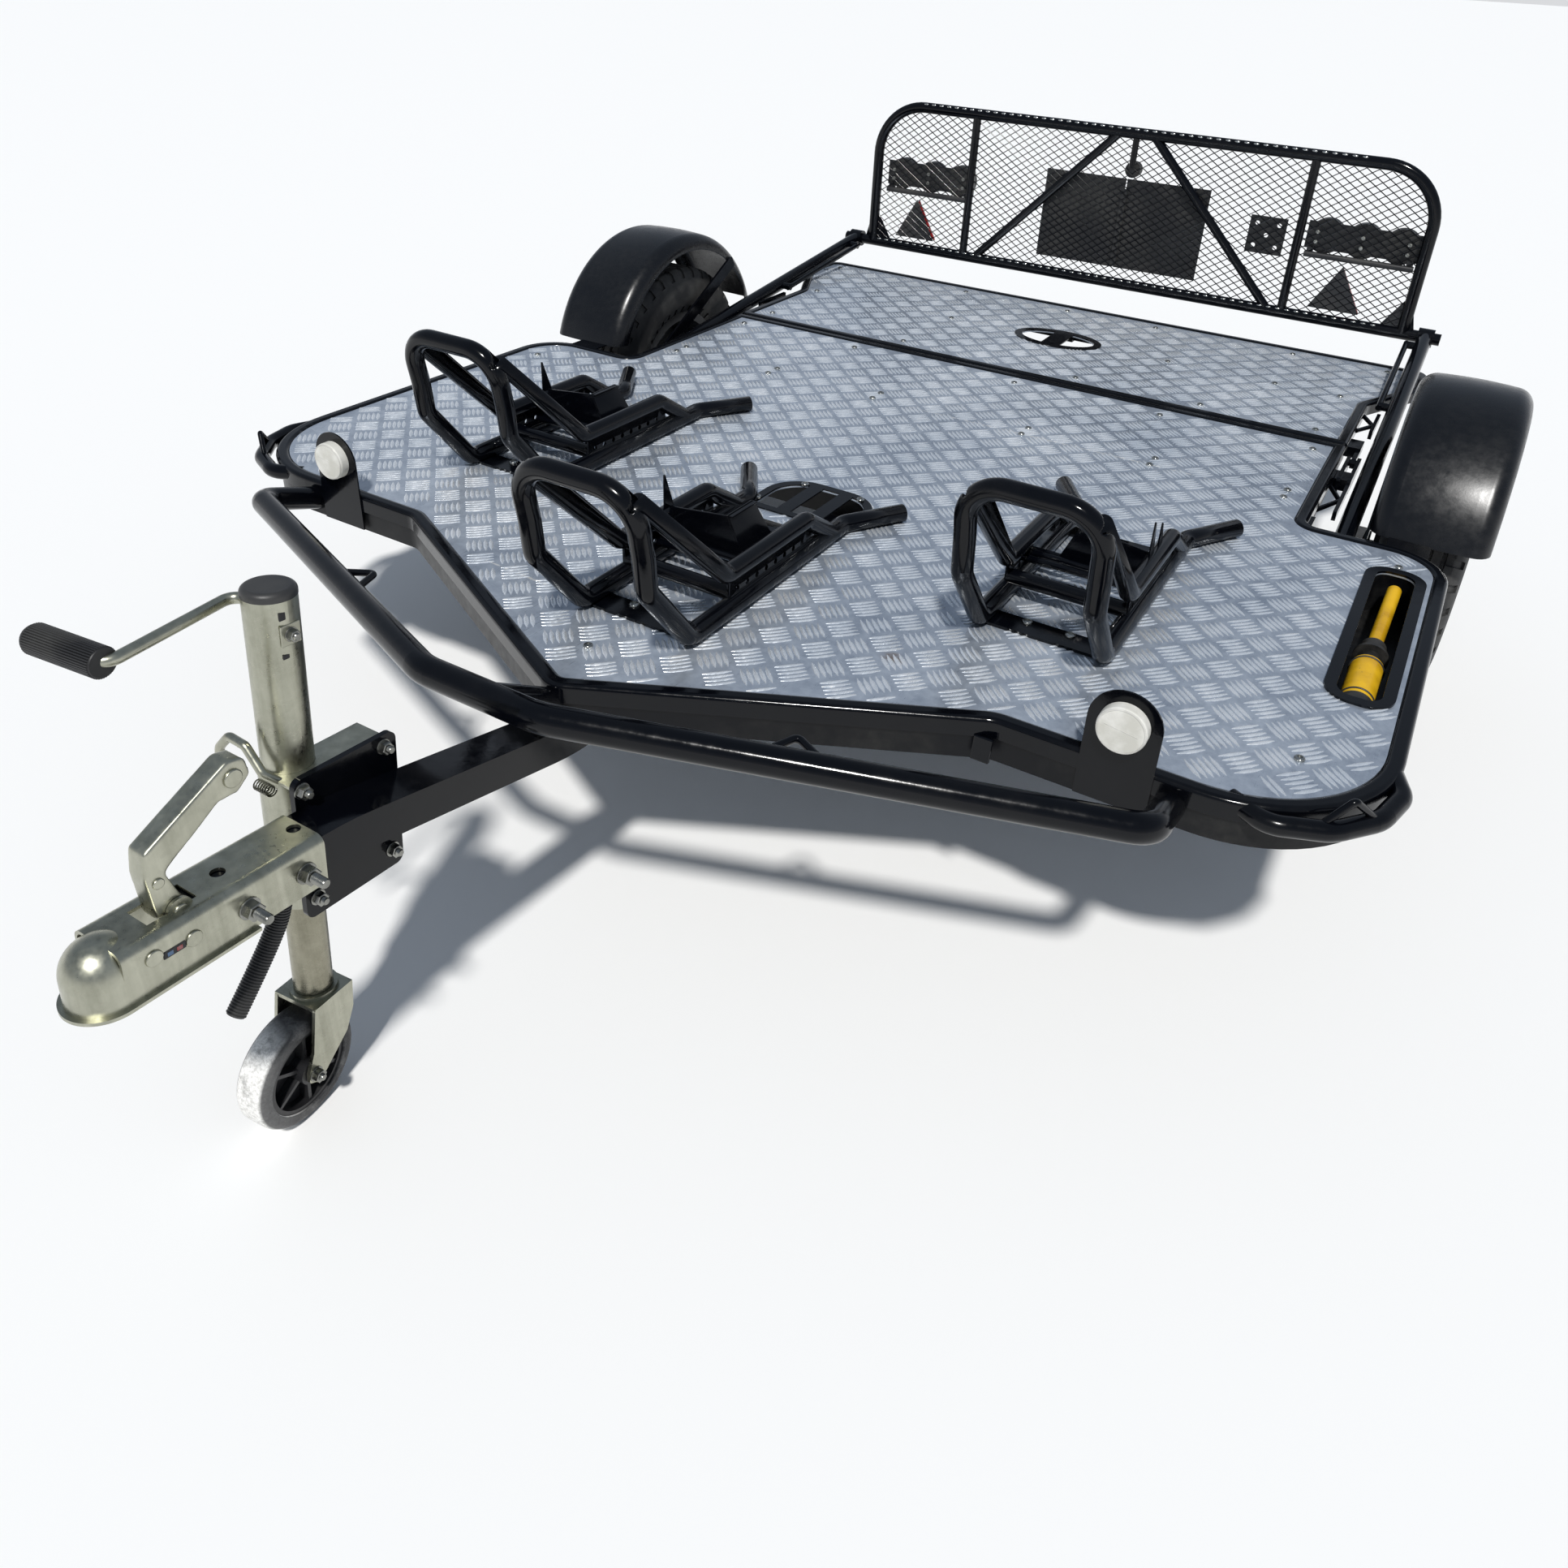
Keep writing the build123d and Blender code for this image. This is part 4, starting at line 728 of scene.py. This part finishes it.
# The coupling's lever is pressed from one sheet: its back is rounded along both sides and over
# the bends, down to the eye.
lever = taken_over("coupling_handle", "coupling_lever")
even = lever.modifiers.new("even", "REMESH")
even.mode = "VOXEL"
even.voxel_size = 0.0012
bpy.ops.object.modifier_apply(modifier="even")
soften = lever.modifiers.new("soften", "SMOOTH")
soften.factor = 0.5
soften.iterations = 60
bpy.ops.object.modifier_apply(modifier="soften")
bpy.ops.object.shade_smooth()
lever.data.materials.append(hitch_zinc)
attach(lever, "root")
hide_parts("coupling_handle")


# The nuts and bolt heads of the coupling and of the jack's plate. They are zinc steel, coloured
# darker than the pressed parts as painted shade, and each stands on its washer with the bolt's
# end through it.
# A darker zinc for all nuts and screw heads; the darkness is painted shade.
nut_zinc_painted_shade = zinc("nut_zinc_painted_shade", (0.17, 0.17, 0.155), (0.42, 0.42, 0.39), 0.20)


def hex_nut(size, stud):
    """A washer, a chamfered nut and a stud end, standing on the origin. Sizes are the thread's."""
    washer = started(bpy.ops.mesh.primitive_cylinder_add, location=(0, 0, size * 0.09),
                     vertices=28, radius=size * 1.02, depth=size * 0.18)
    all_over(washer, bpy.ops.mesh.bevel, offset=size * 0.03, segments=1)
    nut = started(bpy.ops.mesh.primitive_cylinder_add, location=(0, 0, size * 0.57),
                  vertices=6, radius=size * 0.88, depth=size * 0.82)
    choose(nut, lambda place: place.z > size * 0.9)
    bpy.ops.mesh.inset(thickness=size * 0.10, depth=size * 0.06)
    bpy.ops.mesh.inset(thickness=size * 0.16, depth=0)
    pieces = [washer, nut]
    if stud > 0:
        end = started(bpy.ops.mesh.primitive_cylinder_add, location=(0, 0, size + stud / 2),
                      vertices=16, radius=size * 0.5, depth=stud)
        cuts = 2 * int(stud / (size * 0.15))
        step = stud / cuts
        for number in range(1, cuts):
            level = size + stud * number / cuts
            all_over(end, bpy.ops.mesh.bisect, plane_co=(0, 0, level), plane_no=(0, 0, 1))
        choose(end, lambda place: round((place.z - size) / step) % 2 == 1)
        bpy.ops.transform.resize(value=(0.86, 0.86, 1.0), center_override=(0, 0, 0))
        choose(end, lambda place: place.z > size + stud - step * 0.5)
        bpy.ops.transform.resize(value=(0.80, 0.80, 1.0), center_override=(0, 0, 0))
        pieces.append(end)
    return joined(pieces, "nut")


def nuts_at(name, body, spots, size, stud):
    """Nuts of one size, each at its place and facing its own way, as one mesh."""
    first = hex_nut(size, stud)
    twins = [facing(copied(first, (0, 0, 0)), place, axis) for place, axis in spots]
    bpy.data.objects.remove(first)
    fasteners(name, body, twins, 28, nut_zinc_painted_shade)


pump_side = Vector((1, 0, 0))
nuts_at("coupling_nuts", "root",
        [(at_hitch(37, 207, 11), pump_side), (at_hitch(37, 136, 11), pump_side)], 0.0125, 0.020)
nuts_at("coupling_heads", "root",
        [(at_hitch(-37, 207, 11), -pump_side), (at_hitch(-37, 136, 11), -pump_side)], 0.0125, 0)
nuts_at("jack_plate_nuts", "root",
        [(at_hitch(-30, back, up), pump_side) for back, up in
         ((261, 61), (379, 61), (267, -95), (382, -95))], 0.010, 0.006)


# The coupling's rivets and its wear slot. The rivets are flat zinc heads,
# the slot is a dark window with two small plain marks that show how far the seat has worn.
def rivets_at(name, body, spots, radius, height):
    """Flat rivet heads with a rounded edge."""
    twins = []
    for place, axis in spots:
        head = started(bpy.ops.mesh.primitive_cylinder_add, location=(0, 0, height / 2),
                       vertices=24, radius=radius, depth=height)
        choose(head, lambda point: point.z > height * 0.9)
        bpy.ops.mesh.bevel(offset=height * 0.55, segments=3)
        bpy.ops.object.mode_set(mode="OBJECT")
        twins.append(facing(head, place, axis))
    fasteners(name, body, twins, 40, hitch_zinc)


both_ways = (pump_side, -pump_side)
rivets_at("coupling_rivets", "root",
          [(at_hitch(37 * side.x, back, up), side) for side in both_ways
           for back, up in ((73, 16), (31, 21))], 0.009, 0.0025)
rivets_at("lever_rivets", "root",
          [(at_hitch(14 * side.x, 152, 156), side) for side in both_ways], 0.0105, 0.003)
rivets_at("lever_pivot", "root",
          [(at_hitch(18.5 * side.x, 75, 41), side) for side in both_ways], 0.008, 0.003)
rivets_at("lever_stop", "root",
          [(at_hitch(14 * side.x, 60, 82), side) for side in both_ways], 0.006, 0.0025)


def leaning_plate(name, sizes, edge, place):
    """A small thin plate with softened edges, which leans as the coupling does."""
    plate = started(bpy.ops.mesh.primitive_cube_add, sizes, size=1)
    all_over(plate, bpy.ops.mesh.bevel, offset=edge, segments=2)
    plate.rotation_euler = (math.asin(-hitch_up.y), 0, 0)
    plate.location = place
    plate.name = name
    settle(plate)
    return plate


window_black = moulded_black("window_black", 0.012, 0.5, 0.02)
window = leaning_plate("wear_window", (0.0016, 0.024, 0.0085), 0.0007, at_hitch(37.2, 52, 16))
window.data.materials.append(window_black)
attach(window, "root")
for mark_name, mark_colour, along in (
    ("wear_mark_red", (0.26, 0.05, 0.05), 57), ("wear_mark_blue", (0.06, 0.12, 0.22), 47),
):
    material, tree, shader, place = new_material(mark_name)
    patches = cloud(tree, place, 400.0)
    worn = tuple(0.6 * tone + 0.1 for tone in mark_colour)
    tree.links.new(blend_colours(tree, patches, (0.45, mark_colour), (0.7, worn)),
                   shader.inputs["Base Color"])
    shader.inputs["Roughness"].default_value = 0.45
    mark = leaning_plate(mark_name, (0.0008, 0.006, 0.0045), 0.0003, at_hitch(38.2, along, 16))
    mark.data.materials.append(material)
    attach(mark, "root")


# The bolt through the top of the jack. Its square washer and nut sit on the pump side of the
# tube, between two narrow slots that were punched before the tube was zinc coated.
washer = leaning_plate("jack_washer", (0.0022, 0.026, 0.026), 0.0008, at_hitch(-64.8, 294, 238))
washer.data.materials.append(hitch_zinc)
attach(washer, "root")
nuts_at("jack_nut", "root", [(at_hitch(-63.8, 294, 238), pump_side)], 0.0085, 0.003)
# The slots are thin black plates on the tube: painted shade for their dark openings.
slots = [leaning_plate("slot", (0.0016, 0.016, height), 0.0007, at_hitch(-65.6, 290, up))
         for up, height in ((262, 0.010), (212, 0.006))]
jack_slot_shade = joined(slots, "jack_slot_shade")
jack_slot_shade.data.materials.append(window_black)
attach(jack_slot_shade, "root")


# The clamp's spring. It is a short coil of bright wire round the clamp's bolt, in front of the
# jack tube, and keeps the clamp's lever from rattling loose.
spring = started(bpy.ops.mesh.primitive_circle_add, location=(0, 0.0058, 0),
                 rotation=(0, math.radians(90), 0), vertices=10, radius=0.0013)
twist = spring.modifiers.new("coil", "SCREW")
twist.axis = "X"
twist.angle = math.radians(360)
twist.screw_offset = 0.0038
twist.iterations = 7
twist.steps = 20
twist.render_steps = 20
bpy.ops.object.modifier_apply(modifier="coil")
spring.location = at_hitch(-101, 255, 44)
spring.name = "clamp_spring"
settle(spring)
all_over(spring, bpy.ops.mesh.remove_doubles, threshold=0.00001)
all_over(spring, bpy.ops.mesh.fill_holes, sides=12)
all_over(spring, bpy.ops.mesh.normals_make_consistent, inside=False)
bpy.ops.object.shade_smooth()
spring.data.materials.append(bright_zinc)
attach(spring, "root")


# The jack's sliding tube. It is zinc steel, drawn and greased, with faint rings rubbed round it
# where it has slid in the outer tube.
tube_zinc = zinc("tube_zinc", (0.17, 0.16, 0.115), (0.44, 0.42, 0.33), 0.20)
tree = tube_zinc.node_tree
shader = tree.nodes["Principled BSDF"]
place = [node for node in tree.nodes if node.type == "TEX_COORD"][0].outputs["Object"]
rings = cloud(tree, stretched(tree, place, (2.0, 2.0, 210.0)), 1.0, 4.0, 0.7)
raise_surface(tree, shader, rings, 0.35, 0.0008)
give_finish(tube_zinc, "jack_inner_tube")


# The moulded black parts: the jack's cap, the hose's gland, the jockey wheel's hub, the plate
# holder, the backs of the lamps, and the ribbed rubber grip that is pushed onto the crank.
cap_plastic = moulded_black("cap_plastic", 0.016, 0.34, 0.10)
lamp_case_plastic = moulded_black("lamp_case_plastic", 0.013, 0.42, 0.06)
give_finish(cap_plastic, "jack_cap", "conduit_gland", "jockey_rim")
give_finish(lamp_case_plastic, "left_lamps", "right_lamps", "plate_holder", "socket_plate")

low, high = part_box("crank_grip")
grip_middle = (low + high) / 2
grip_sides = 40
grip = started(bpy.ops.mesh.primitive_cylinder_add, vertices=grip_sides, radius=0.0166, depth=0.104)
choose(grip, lambda place: place.z > 0)
bpy.ops.mesh.bevel(offset=0.007, segments=4, profile=0.5)
drop_choice(grip)
for face in grip.data.polygons:
    angle = math.degrees(math.atan2(face.center.y, face.center.x)) % 360
    long_face = abs(face.normal.z) < 0.1 and face.area > 0.00015
    face.select = long_face and int(angle / (360 / grip_sides)) % 2 == 0
bpy.ops.object.mode_set(mode="EDIT")
bpy.ops.mesh.select_mode(type="FACE")
bpy.ops.mesh.inset(thickness=0.0006, depth=0.0013, use_individual=True)
bpy.ops.object.mode_set(mode="OBJECT")
grip.name = "ribbed_grip"
facing(grip, grip_middle, -Vector(joints["crank_turn"]["axis"]))
smooth(grip, 30)
grip.data.materials.append(moulded_black("grip_rubber", 0.012, 0.46, 0.10))
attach(grip, "crank")
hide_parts("crank_grip")


# The jockey wheel. A solid grey-black tyre on a black spoked hub, with pale road dust caked
# on its worn tread, turning on a zinc axle that is held by a nut at each side of the fork.
dusty_tyre, tree, shader, place = new_material("dusty_tyre")
cake = cloud(tree, place, 26.0, 8.0, 0.72)
crumbs = cloud(tree, place, 240.0, 4.0, 0.7)
low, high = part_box("jockey_tyre")
front = spot(tree, place, (low.x, low.y - 0.005, (low.z + high.z) / 2 + 0.01), (0.13, 0.10, 0.14))
spin_axis = joints["jockey_spin"]["axis"]
facing_out = tree.nodes.new("ShaderNodeVectorMath")
facing_out.operation = "DOT_PRODUCT"
facing_out.inputs[1].default_value = spin_axis
tree.links.new(tree.nodes["Texture Coordinate"].outputs["Normal"], facing_out.inputs[0])
sideways = combine(tree, facing_out.outputs["Value"], facing_out.outputs["Value"])
on_tread = remap(tree, sideways, 0.20, 0.55, 1.0, 0.12)
caked = combine(tree, remap(tree, front, 0.0, 0.30, 0.0, 1.0), remap(tree, cake, 0.30, 0.46, 0.25, 1.0))
caked = combine(tree, caked, on_tread)
powder = combine(tree, remap(tree, cake, 0.5, 0.75, 0.0, 0.25), caked, "MAXIMUM")
dust_colour = blend_colours(tree, crumbs, (0.35, (0.60, 0.59, 0.56)), (0.60, (0.92, 0.91, 0.88)))
coat(tree, shader, mix_colours(tree, powder, (0.022, 0.022, 0.024), dust_colour),
     remap(tree, powder, 0.0, 1.0, 0.55, 0.95))
raise_surface(tree, shader, crumbs, 0.6, 0.0012)
raise_surface(tree, shader, cake, 0.7, 0.0030)
give_finish(dusty_tyre, "jockey_tyre")
wheel_axis = Vector(spin_axis).normalized()
wheel_middle = Vector(joints["jockey_spin"]["pos_m"])
nuts_at("jockey_nuts", "jockey_fork",
        [(wheel_middle + wheel_axis * 0.0345 * side, wheel_axis * side) for side in (-1, 1)],
        0.010, 0.004)


# The road tyres. Black rubber with four grooves round the tread and notched shoulder blocks,
# moulded in one; the side walls are smooth and greyed by weather.
road_rubber = mottled("road_rubber", (12.0, 6.0), (0.42, (0.016, 0.016, 0.017)),
                      (0.72, (0.075, 0.073, 0.068)), (0.35, 0.7, 0.62, 0.85), (500.0, 2.0), (0.3, 0.0005))
low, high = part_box("right_tyre")
tyre_middle = (low + high) / 2
outer = high.z - tyre_middle.z
half = (high.x - low.x) / 2
groove_half = 0.0045
groove_floor_half = 0.003
groove_floor = outer - 0.008
section = [(-half + 0.020, 0.163), (-half + 0.004, 0.195), (-half, 0.222), (-half + 0.006, outer - 0.026),
           (-half + 0.014, outer - 0.009), (-half + 0.024, outer - 0.0015)]
for groove in (-0.038, -0.0127, 0.0127, 0.038):
    section += [(groove - groove_half, outer - 0.0005), (groove - groove_floor_half, groove_floor)]
    section += [(groove + groove_floor_half, groove_floor), (groove + groove_half, outer - 0.0005)]
section += [(-x, r) for x, r in section[5::-1]]
outline = bpy.data.meshes.new("right_road_tyre")
count = len(section)
spin_steps = 112
shoulder = 0.043
notch_depth = 0.005
outline.from_pydata([(tyre_middle.x + x, tyre_middle.y, tyre_middle.z + r) for x, r in section],
                    [(i, (i + 1) % count) for i in range(count)], [])
tyre = added("right_road_tyre", outline)
all_over(tyre, bpy.ops.mesh.spin, steps=spin_steps, angle=math.radians(360), center=tyre_middle,
         axis=(1, 0, 0))
all_over(tyre, bpy.ops.mesh.remove_doubles, threshold=0.0001)
all_over(tyre, bpy.ops.mesh.normals_make_consistent, inside=False)
drop_choice(tyre)
for face in tyre.data.polygons:
    offset = face.center - tyre_middle
    turn_step = math.degrees(math.atan2(offset.z, offset.y)) % 360 / (360 / spin_steps)
    face.select = shoulder < abs(offset.x) < half - 0.010 and int(turn_step) % 3 == 0
bpy.ops.object.mode_set(mode="EDIT")
bpy.ops.mesh.select_mode(type="FACE")
bpy.ops.mesh.extrude_region_shrink_fatten(TRANSFORM_OT_shrink_fatten={"value": -notch_depth})
smooth(tyre, 30)
tyre.data.materials.append(road_rubber)
other_tyre = copied(tyre, (-2 * tyre_middle.x, 0, 0))
other_tyre.name = "left_road_tyre"
for piece, body, node in ((tyre, "right_wheel", "right_tyre"), (other_tyre, "left_wheel", "left_tyre")):
    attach(piece, body)
    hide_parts(node)


# The road wheels' rims. Pressed steel discs in dark gloss paint, each held by five wheel nuts
# round a dust cap.
rim_paint = gloss_black("rim_paint", 0.26, 0.30, 0.35)
give_finish(rim_paint, "left_rim", "right_rim")
hub_face = 1.048
nut_circle = 0.048
for side, name in ((1, "right"), (-1, "left")):
    spots = []
    for degrees in range(18, 360, 72):
        angle = math.radians(degrees)
        seat = Vector((side * hub_face, tyre_middle.y + nut_circle * math.cos(angle),
                       tyre_middle.z + nut_circle * math.sin(angle)))
        spots.append((seat, (side, 0, 0)))
    nuts_at(name + "_wheel_nuts", name + "_wheel", spots, 0.0115, 0.003)


# The gate's mesh. Strands of black steel cross in flat diamonds, and are welded to the tubes
# of the gate all round.
low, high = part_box("gate_mesh")
sheet_y = (low.y + high.y) / 2
wide = 0.0315
tall = 0.0210
slope = math.atan2(tall, wide)
half_width = high.x + 0.004
bottom = low.z - 0.008
top = high.z + 0.004
corner = 0.136
strand_length = (top - bottom) / math.sin(slope) + 0.06
strand = started(bpy.ops.mesh.primitive_cylinder_add, rotation=(0, math.radians(90) - slope, 0),
                 vertices=6, radius=0.0014, depth=strand_length)
strand.location = (-half_width - (top - bottom) / math.tan(slope) / 2, sheet_y, (bottom + top) / 2)
settle(strand)
reach = 2 * half_width + (top - bottom) / math.tan(slope)
repeat(strand, int(reach / wide) + 1, (wide, 0, 0))
crossing = copied(strand, (0, 0, 0))
crossing.scale = (-1, 1, 1)
settle(crossing)
all_over(crossing, bpy.ops.mesh.normals_make_consistent, inside=False)
mesh_sheet = joined([strand, crossing], "gate_strands")
edges = [((half_width, bottom), (1, 0)), ((-half_width, bottom), (-1, 0)), ((0, bottom), (0, -1)),
         ((0, top), (0, 1))]
for side in (-1, 1):
    for degrees in (15, 30, 45, 60, 75):
        x, z = side * math.cos(math.radians(degrees)), math.sin(math.radians(degrees))
        edges.append(((side * (half_width - corner) + corner * x, top - corner + corner * z), (x, z)))
for (x, z), (away_x, away_z) in edges:
    all_over(mesh_sheet, bpy.ops.mesh.bisect, plane_co=(x, sheet_y, z), plane_no=(away_x, 0, away_z),
             clear_outer=True, use_fill=False)
smooth(mesh_sheet, 60)
mesh_sheet.data.materials.append(frame_paint)
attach(mesh_sheet, "gate")
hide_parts("gate_mesh")


# The lamps and small signs on the gate. Red moulded lenses face rearwards, red triangles stand
# under them, and white round markers sit on black plates at the deck's front.
def lens_plastic(name, dark, pale, gloss):
    """Clear-coated moulded plastic, cloudy with dust and fine scratches."""
    material, tree, shader, place = new_material(name)
    clouds = cloud(tree, place, 30.0, 6.0)
    scratches = cloud(tree, stretched(tree, place, (30.0, 30.0, 700.0), 0.3), 1.0, 4.0)
    coat(tree, shader, blend_colours(tree, clouds, (0.40, dark), (0.62, pale)),
         remap(tree, scratches, 0.4, 0.7, gloss, gloss + 0.25))
    raise_surface(tree, shader, scratches, 0.08, 0.0005)
    return material


marker_white = lens_plastic("marker_white", (0.62, 0.61, 0.55), (0.78, 0.77, 0.72), 0.35)
lamp_red = lens_plastic("lamp_red", (0.30, 0.008, 0.008), (0.46, 0.02, 0.015), 0.12)
give_finish(marker_white, "marker_lamps")
give_finish(lamp_red, "lamp_lenses", "reflectors")
low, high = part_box("marker_lamps")
rims = []
for side in (-1, 1):
    middle = Vector((side * 0.730, low.y + 0.0012, (low.z + high.z) / 2))
    for major, minor in ((0.0315, 0.0016), (0.0255, 0.0008)):
        rim = started(bpy.ops.mesh.primitive_torus_add, major_segments=64, minor_segments=8,
                      major_radius=major, minor_radius=minor)
        rims.append(facing(rim, middle, (0, -1, 0)))
    joint_line = started(bpy.ops.mesh.primitive_cube_add, (0.046, 0.0008, 0.0009), size=1)
    all_over(joint_line, bpy.ops.mesh.bevel, offset=0.0003, segments=1)
    joint_line.rotation_euler = (0, math.radians(8), 0)
    joint_line.location = middle + Vector((0, -0.0012, 0.002))
    settle(joint_line)
    rims.append(joint_line)
lamp_rims = joined(rims, "marker_rims")
smooth(lamp_rims, 40)
lamp_rims.data.materials.append(lens_plastic("rim_white", (0.50, 0.49, 0.45), (0.66, 0.65, 0.61), 0.4))
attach(lamp_rims, "root")


# The wire ends on the gate. Where the strands meet the top and bottom tubes their ends are
# folded over the tube; they are coloured bright zinc as a painted highlight, and show as two
# rows of short bright dashes.
low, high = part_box("gate_frame")
tube_y = (low.y + high.y) / 2
bead_step = 0.0252
rows = []
for tube_z, reach in ((high.z - 0.0155, 0.655), (low.z + 0.0155, 0.780)):
    bead = started(bpy.ops.mesh.primitive_ico_sphere_add, (0.0078, 0.0030, 0.0030),
                   (-reach, tube_y - 0.0108, tube_z + 0.0112), subdivisions=2, radius=1.0)
    repeat(bead, int(2 * reach / bead_step), (bead_step, 0, 0))
    rows.append(bead)
wire_end_highlights = joined(rows, "gate_wire_ends")
bpy.ops.object.shade_smooth()
# Their bright zinc colour is a painted highlight.
wire_end_highlights.data.materials.append(bright_zinc)
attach(wire_end_highlights, "gate")


# The screws in the backs of the lamps, three above and three below on each, and the black strip
# that closes the joint between the two halves of the plate holder.
lamp_screws = []
for lamps in ("left_lamps", "right_lamps"):
    low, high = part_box(lamps)
    for share in (0.10, 0.50, 0.90):
        for drop in (0.034, 0.060):
            head = Vector((low.x + share * (high.x - low.x), low.y + 0.0005, high.z - drop))
            lamp_screws.append((head, (0, -1, 0)))
nuts_at("lamp_screws", "gate", lamp_screws, 0.0052, 0)
low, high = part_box("plate_holder")
strip = worked_block((-0.0185, low.y + 0.0012, low.z + 0.004),
                     (-0.0025, low.y + 0.0032, low.z + 0.226), 0.0006)
strip.name = "holder_joint"
strip.data.materials.append(lamp_case_plastic)
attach(strip, "gate")


# The backs of the signs. Each red triangle is glued to a thin black steel plate, so from the
# deck only its black back and the head of its screw are seen.
low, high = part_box("reflectors")
backs = []
for side_low in (low.x, high.x - 0.130):
    back = started(bpy.ops.mesh.primitive_cylinder_add, vertices=3, radius=0.0755, depth=0.0022)
    all_over(back, bpy.ops.mesh.bevel, offset=0.0007, segments=1)
    back.scale = (1.03, 1.06, 1.0)
    settle(back)
    backs.append(facing(back, (side_low + 0.065, low.y - 0.0007, low.z + 0.0385), (0, -1, 0)))
sign_backs = joined(backs, "sign_backs")
sign_backs.data.materials.append(lamp_case_plastic)
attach(sign_backs, "gate")


# The hand pump in its tray. Its ram and lever are worn yellow paint, its valve block is black
# cast iron, and two rubber collars sit on the ram.
pump_yellow, tree, shader, place = new_material("pump_yellow")
chips = cloud(tree, place, 55.0, 6.0, 0.7)
grime = cloud(tree, place, 14.0, 5.0)
yellow = blend_colours(tree, grime, (0.38, (0.55, 0.30, 0.008)), (0.60, (0.80, 0.47, 0.012)))
bare = remap(tree, chips, 0.64, 0.68, 0.0, 0.85)
coat(tree, shader, mix_colours(tree, bare, yellow, (0.06, 0.05, 0.04)),
     remap(tree, grime, 0.35, 0.7, 0.22, 0.5))
raise_surface(tree, shader, chips, 0.10, 0.0005)
give_finish(pump_yellow, "pump_cylinder")
cast_black = mottled("cast_black", (22.0, 5.0), (0.4, (0.008, 0.008, 0.008)),
                     (0.68, (0.045, 0.042, 0.038)), (0.35, 0.65, 0.28, 0.6), (320.0, 3.0), (0.35, 0.0006))
give_finish(cast_black, "pump_block")
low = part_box("pump_cylinder")[0]
ram_x = (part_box("pump_block")[0].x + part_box("pump_block")[1].x) / 2
ram_z = low.z + 0.025
collars = []
for y in (low.y + 0.012, low.y + 0.118):
    collar = started(bpy.ops.mesh.primitive_torus_add, major_segments=48, minor_segments=10,
                     major_radius=0.0252, minor_radius=0.0018)
    collars.append(facing(collar, (ram_x, y, ram_z), (0, 1, 0)))
collar_set = joined(collars, "pump_collars")
bpy.ops.object.shade_smooth()
collar_set.data.materials.append(cap_plastic)
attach(collar_set, "root")


# The studio. A plain pale floor, a surround that is pale low down and greyer overhead, and one
# slightly soft lamp, high in front on the pump side, so that shadows fall back under the trailer.
floor = started(bpy.ops.mesh.primitive_plane_add, location=(0, 20, 0), size=120)
floor.name = "studio_floor"
floor_finish, tree, shader, place = new_material("studio_floor")
set_sockets(shader, Base_Color=(0.92, 0.915, 0.90, 1.0), Roughness=0.9, Specular_IOR_Level=0.1)
floor.data.materials.append(floor_finish)

world = bpy.data.worlds.new("studio_surround")
bpy.context.scene.world = world
world.use_nodes = True
tree = world.node_tree
surround = tree.nodes["Background"]
direction = tree.nodes.new("ShaderNodeTexCoord").outputs["Generated"]
split = tree.nodes.new("ShaderNodeSeparateXYZ")
tree.links.new(direction, split.inputs["Vector"])
dome = blend_colours(tree, split.outputs["Z"], (0.0, (0.70, 0.71, 0.73)), (0.12, (0.46, 0.49, 0.54)),
                     (0.42, (0.24, 0.28, 0.34)), (1.0, (0.20, 0.24, 0.30)))
tree.links.new(dome, surround.inputs["Color"])
surround.inputs["Strength"].default_value = 1.0

lamp_data = bpy.data.lights.new("large_lamp", "SUN")
lamp_data.energy = 3.1
lamp_data.angle = math.radians(4)
lamp_data.color = (1.0, 0.985, 0.96)
lamp = added("large_lamp", lamp_data)
lamp_height = math.radians(55)
lamp_way = Vector((-0.43 * math.cos(lamp_height), 0.90 * math.cos(lamp_height), -math.sin(lamp_height)))
lamp.rotation_mode = "QUATERNION"
lamp.rotation_quaternion = lamp_way.to_track_quat("-Z", "Y")

bpy.context.scene.view_settings.view_transform = "Standard"
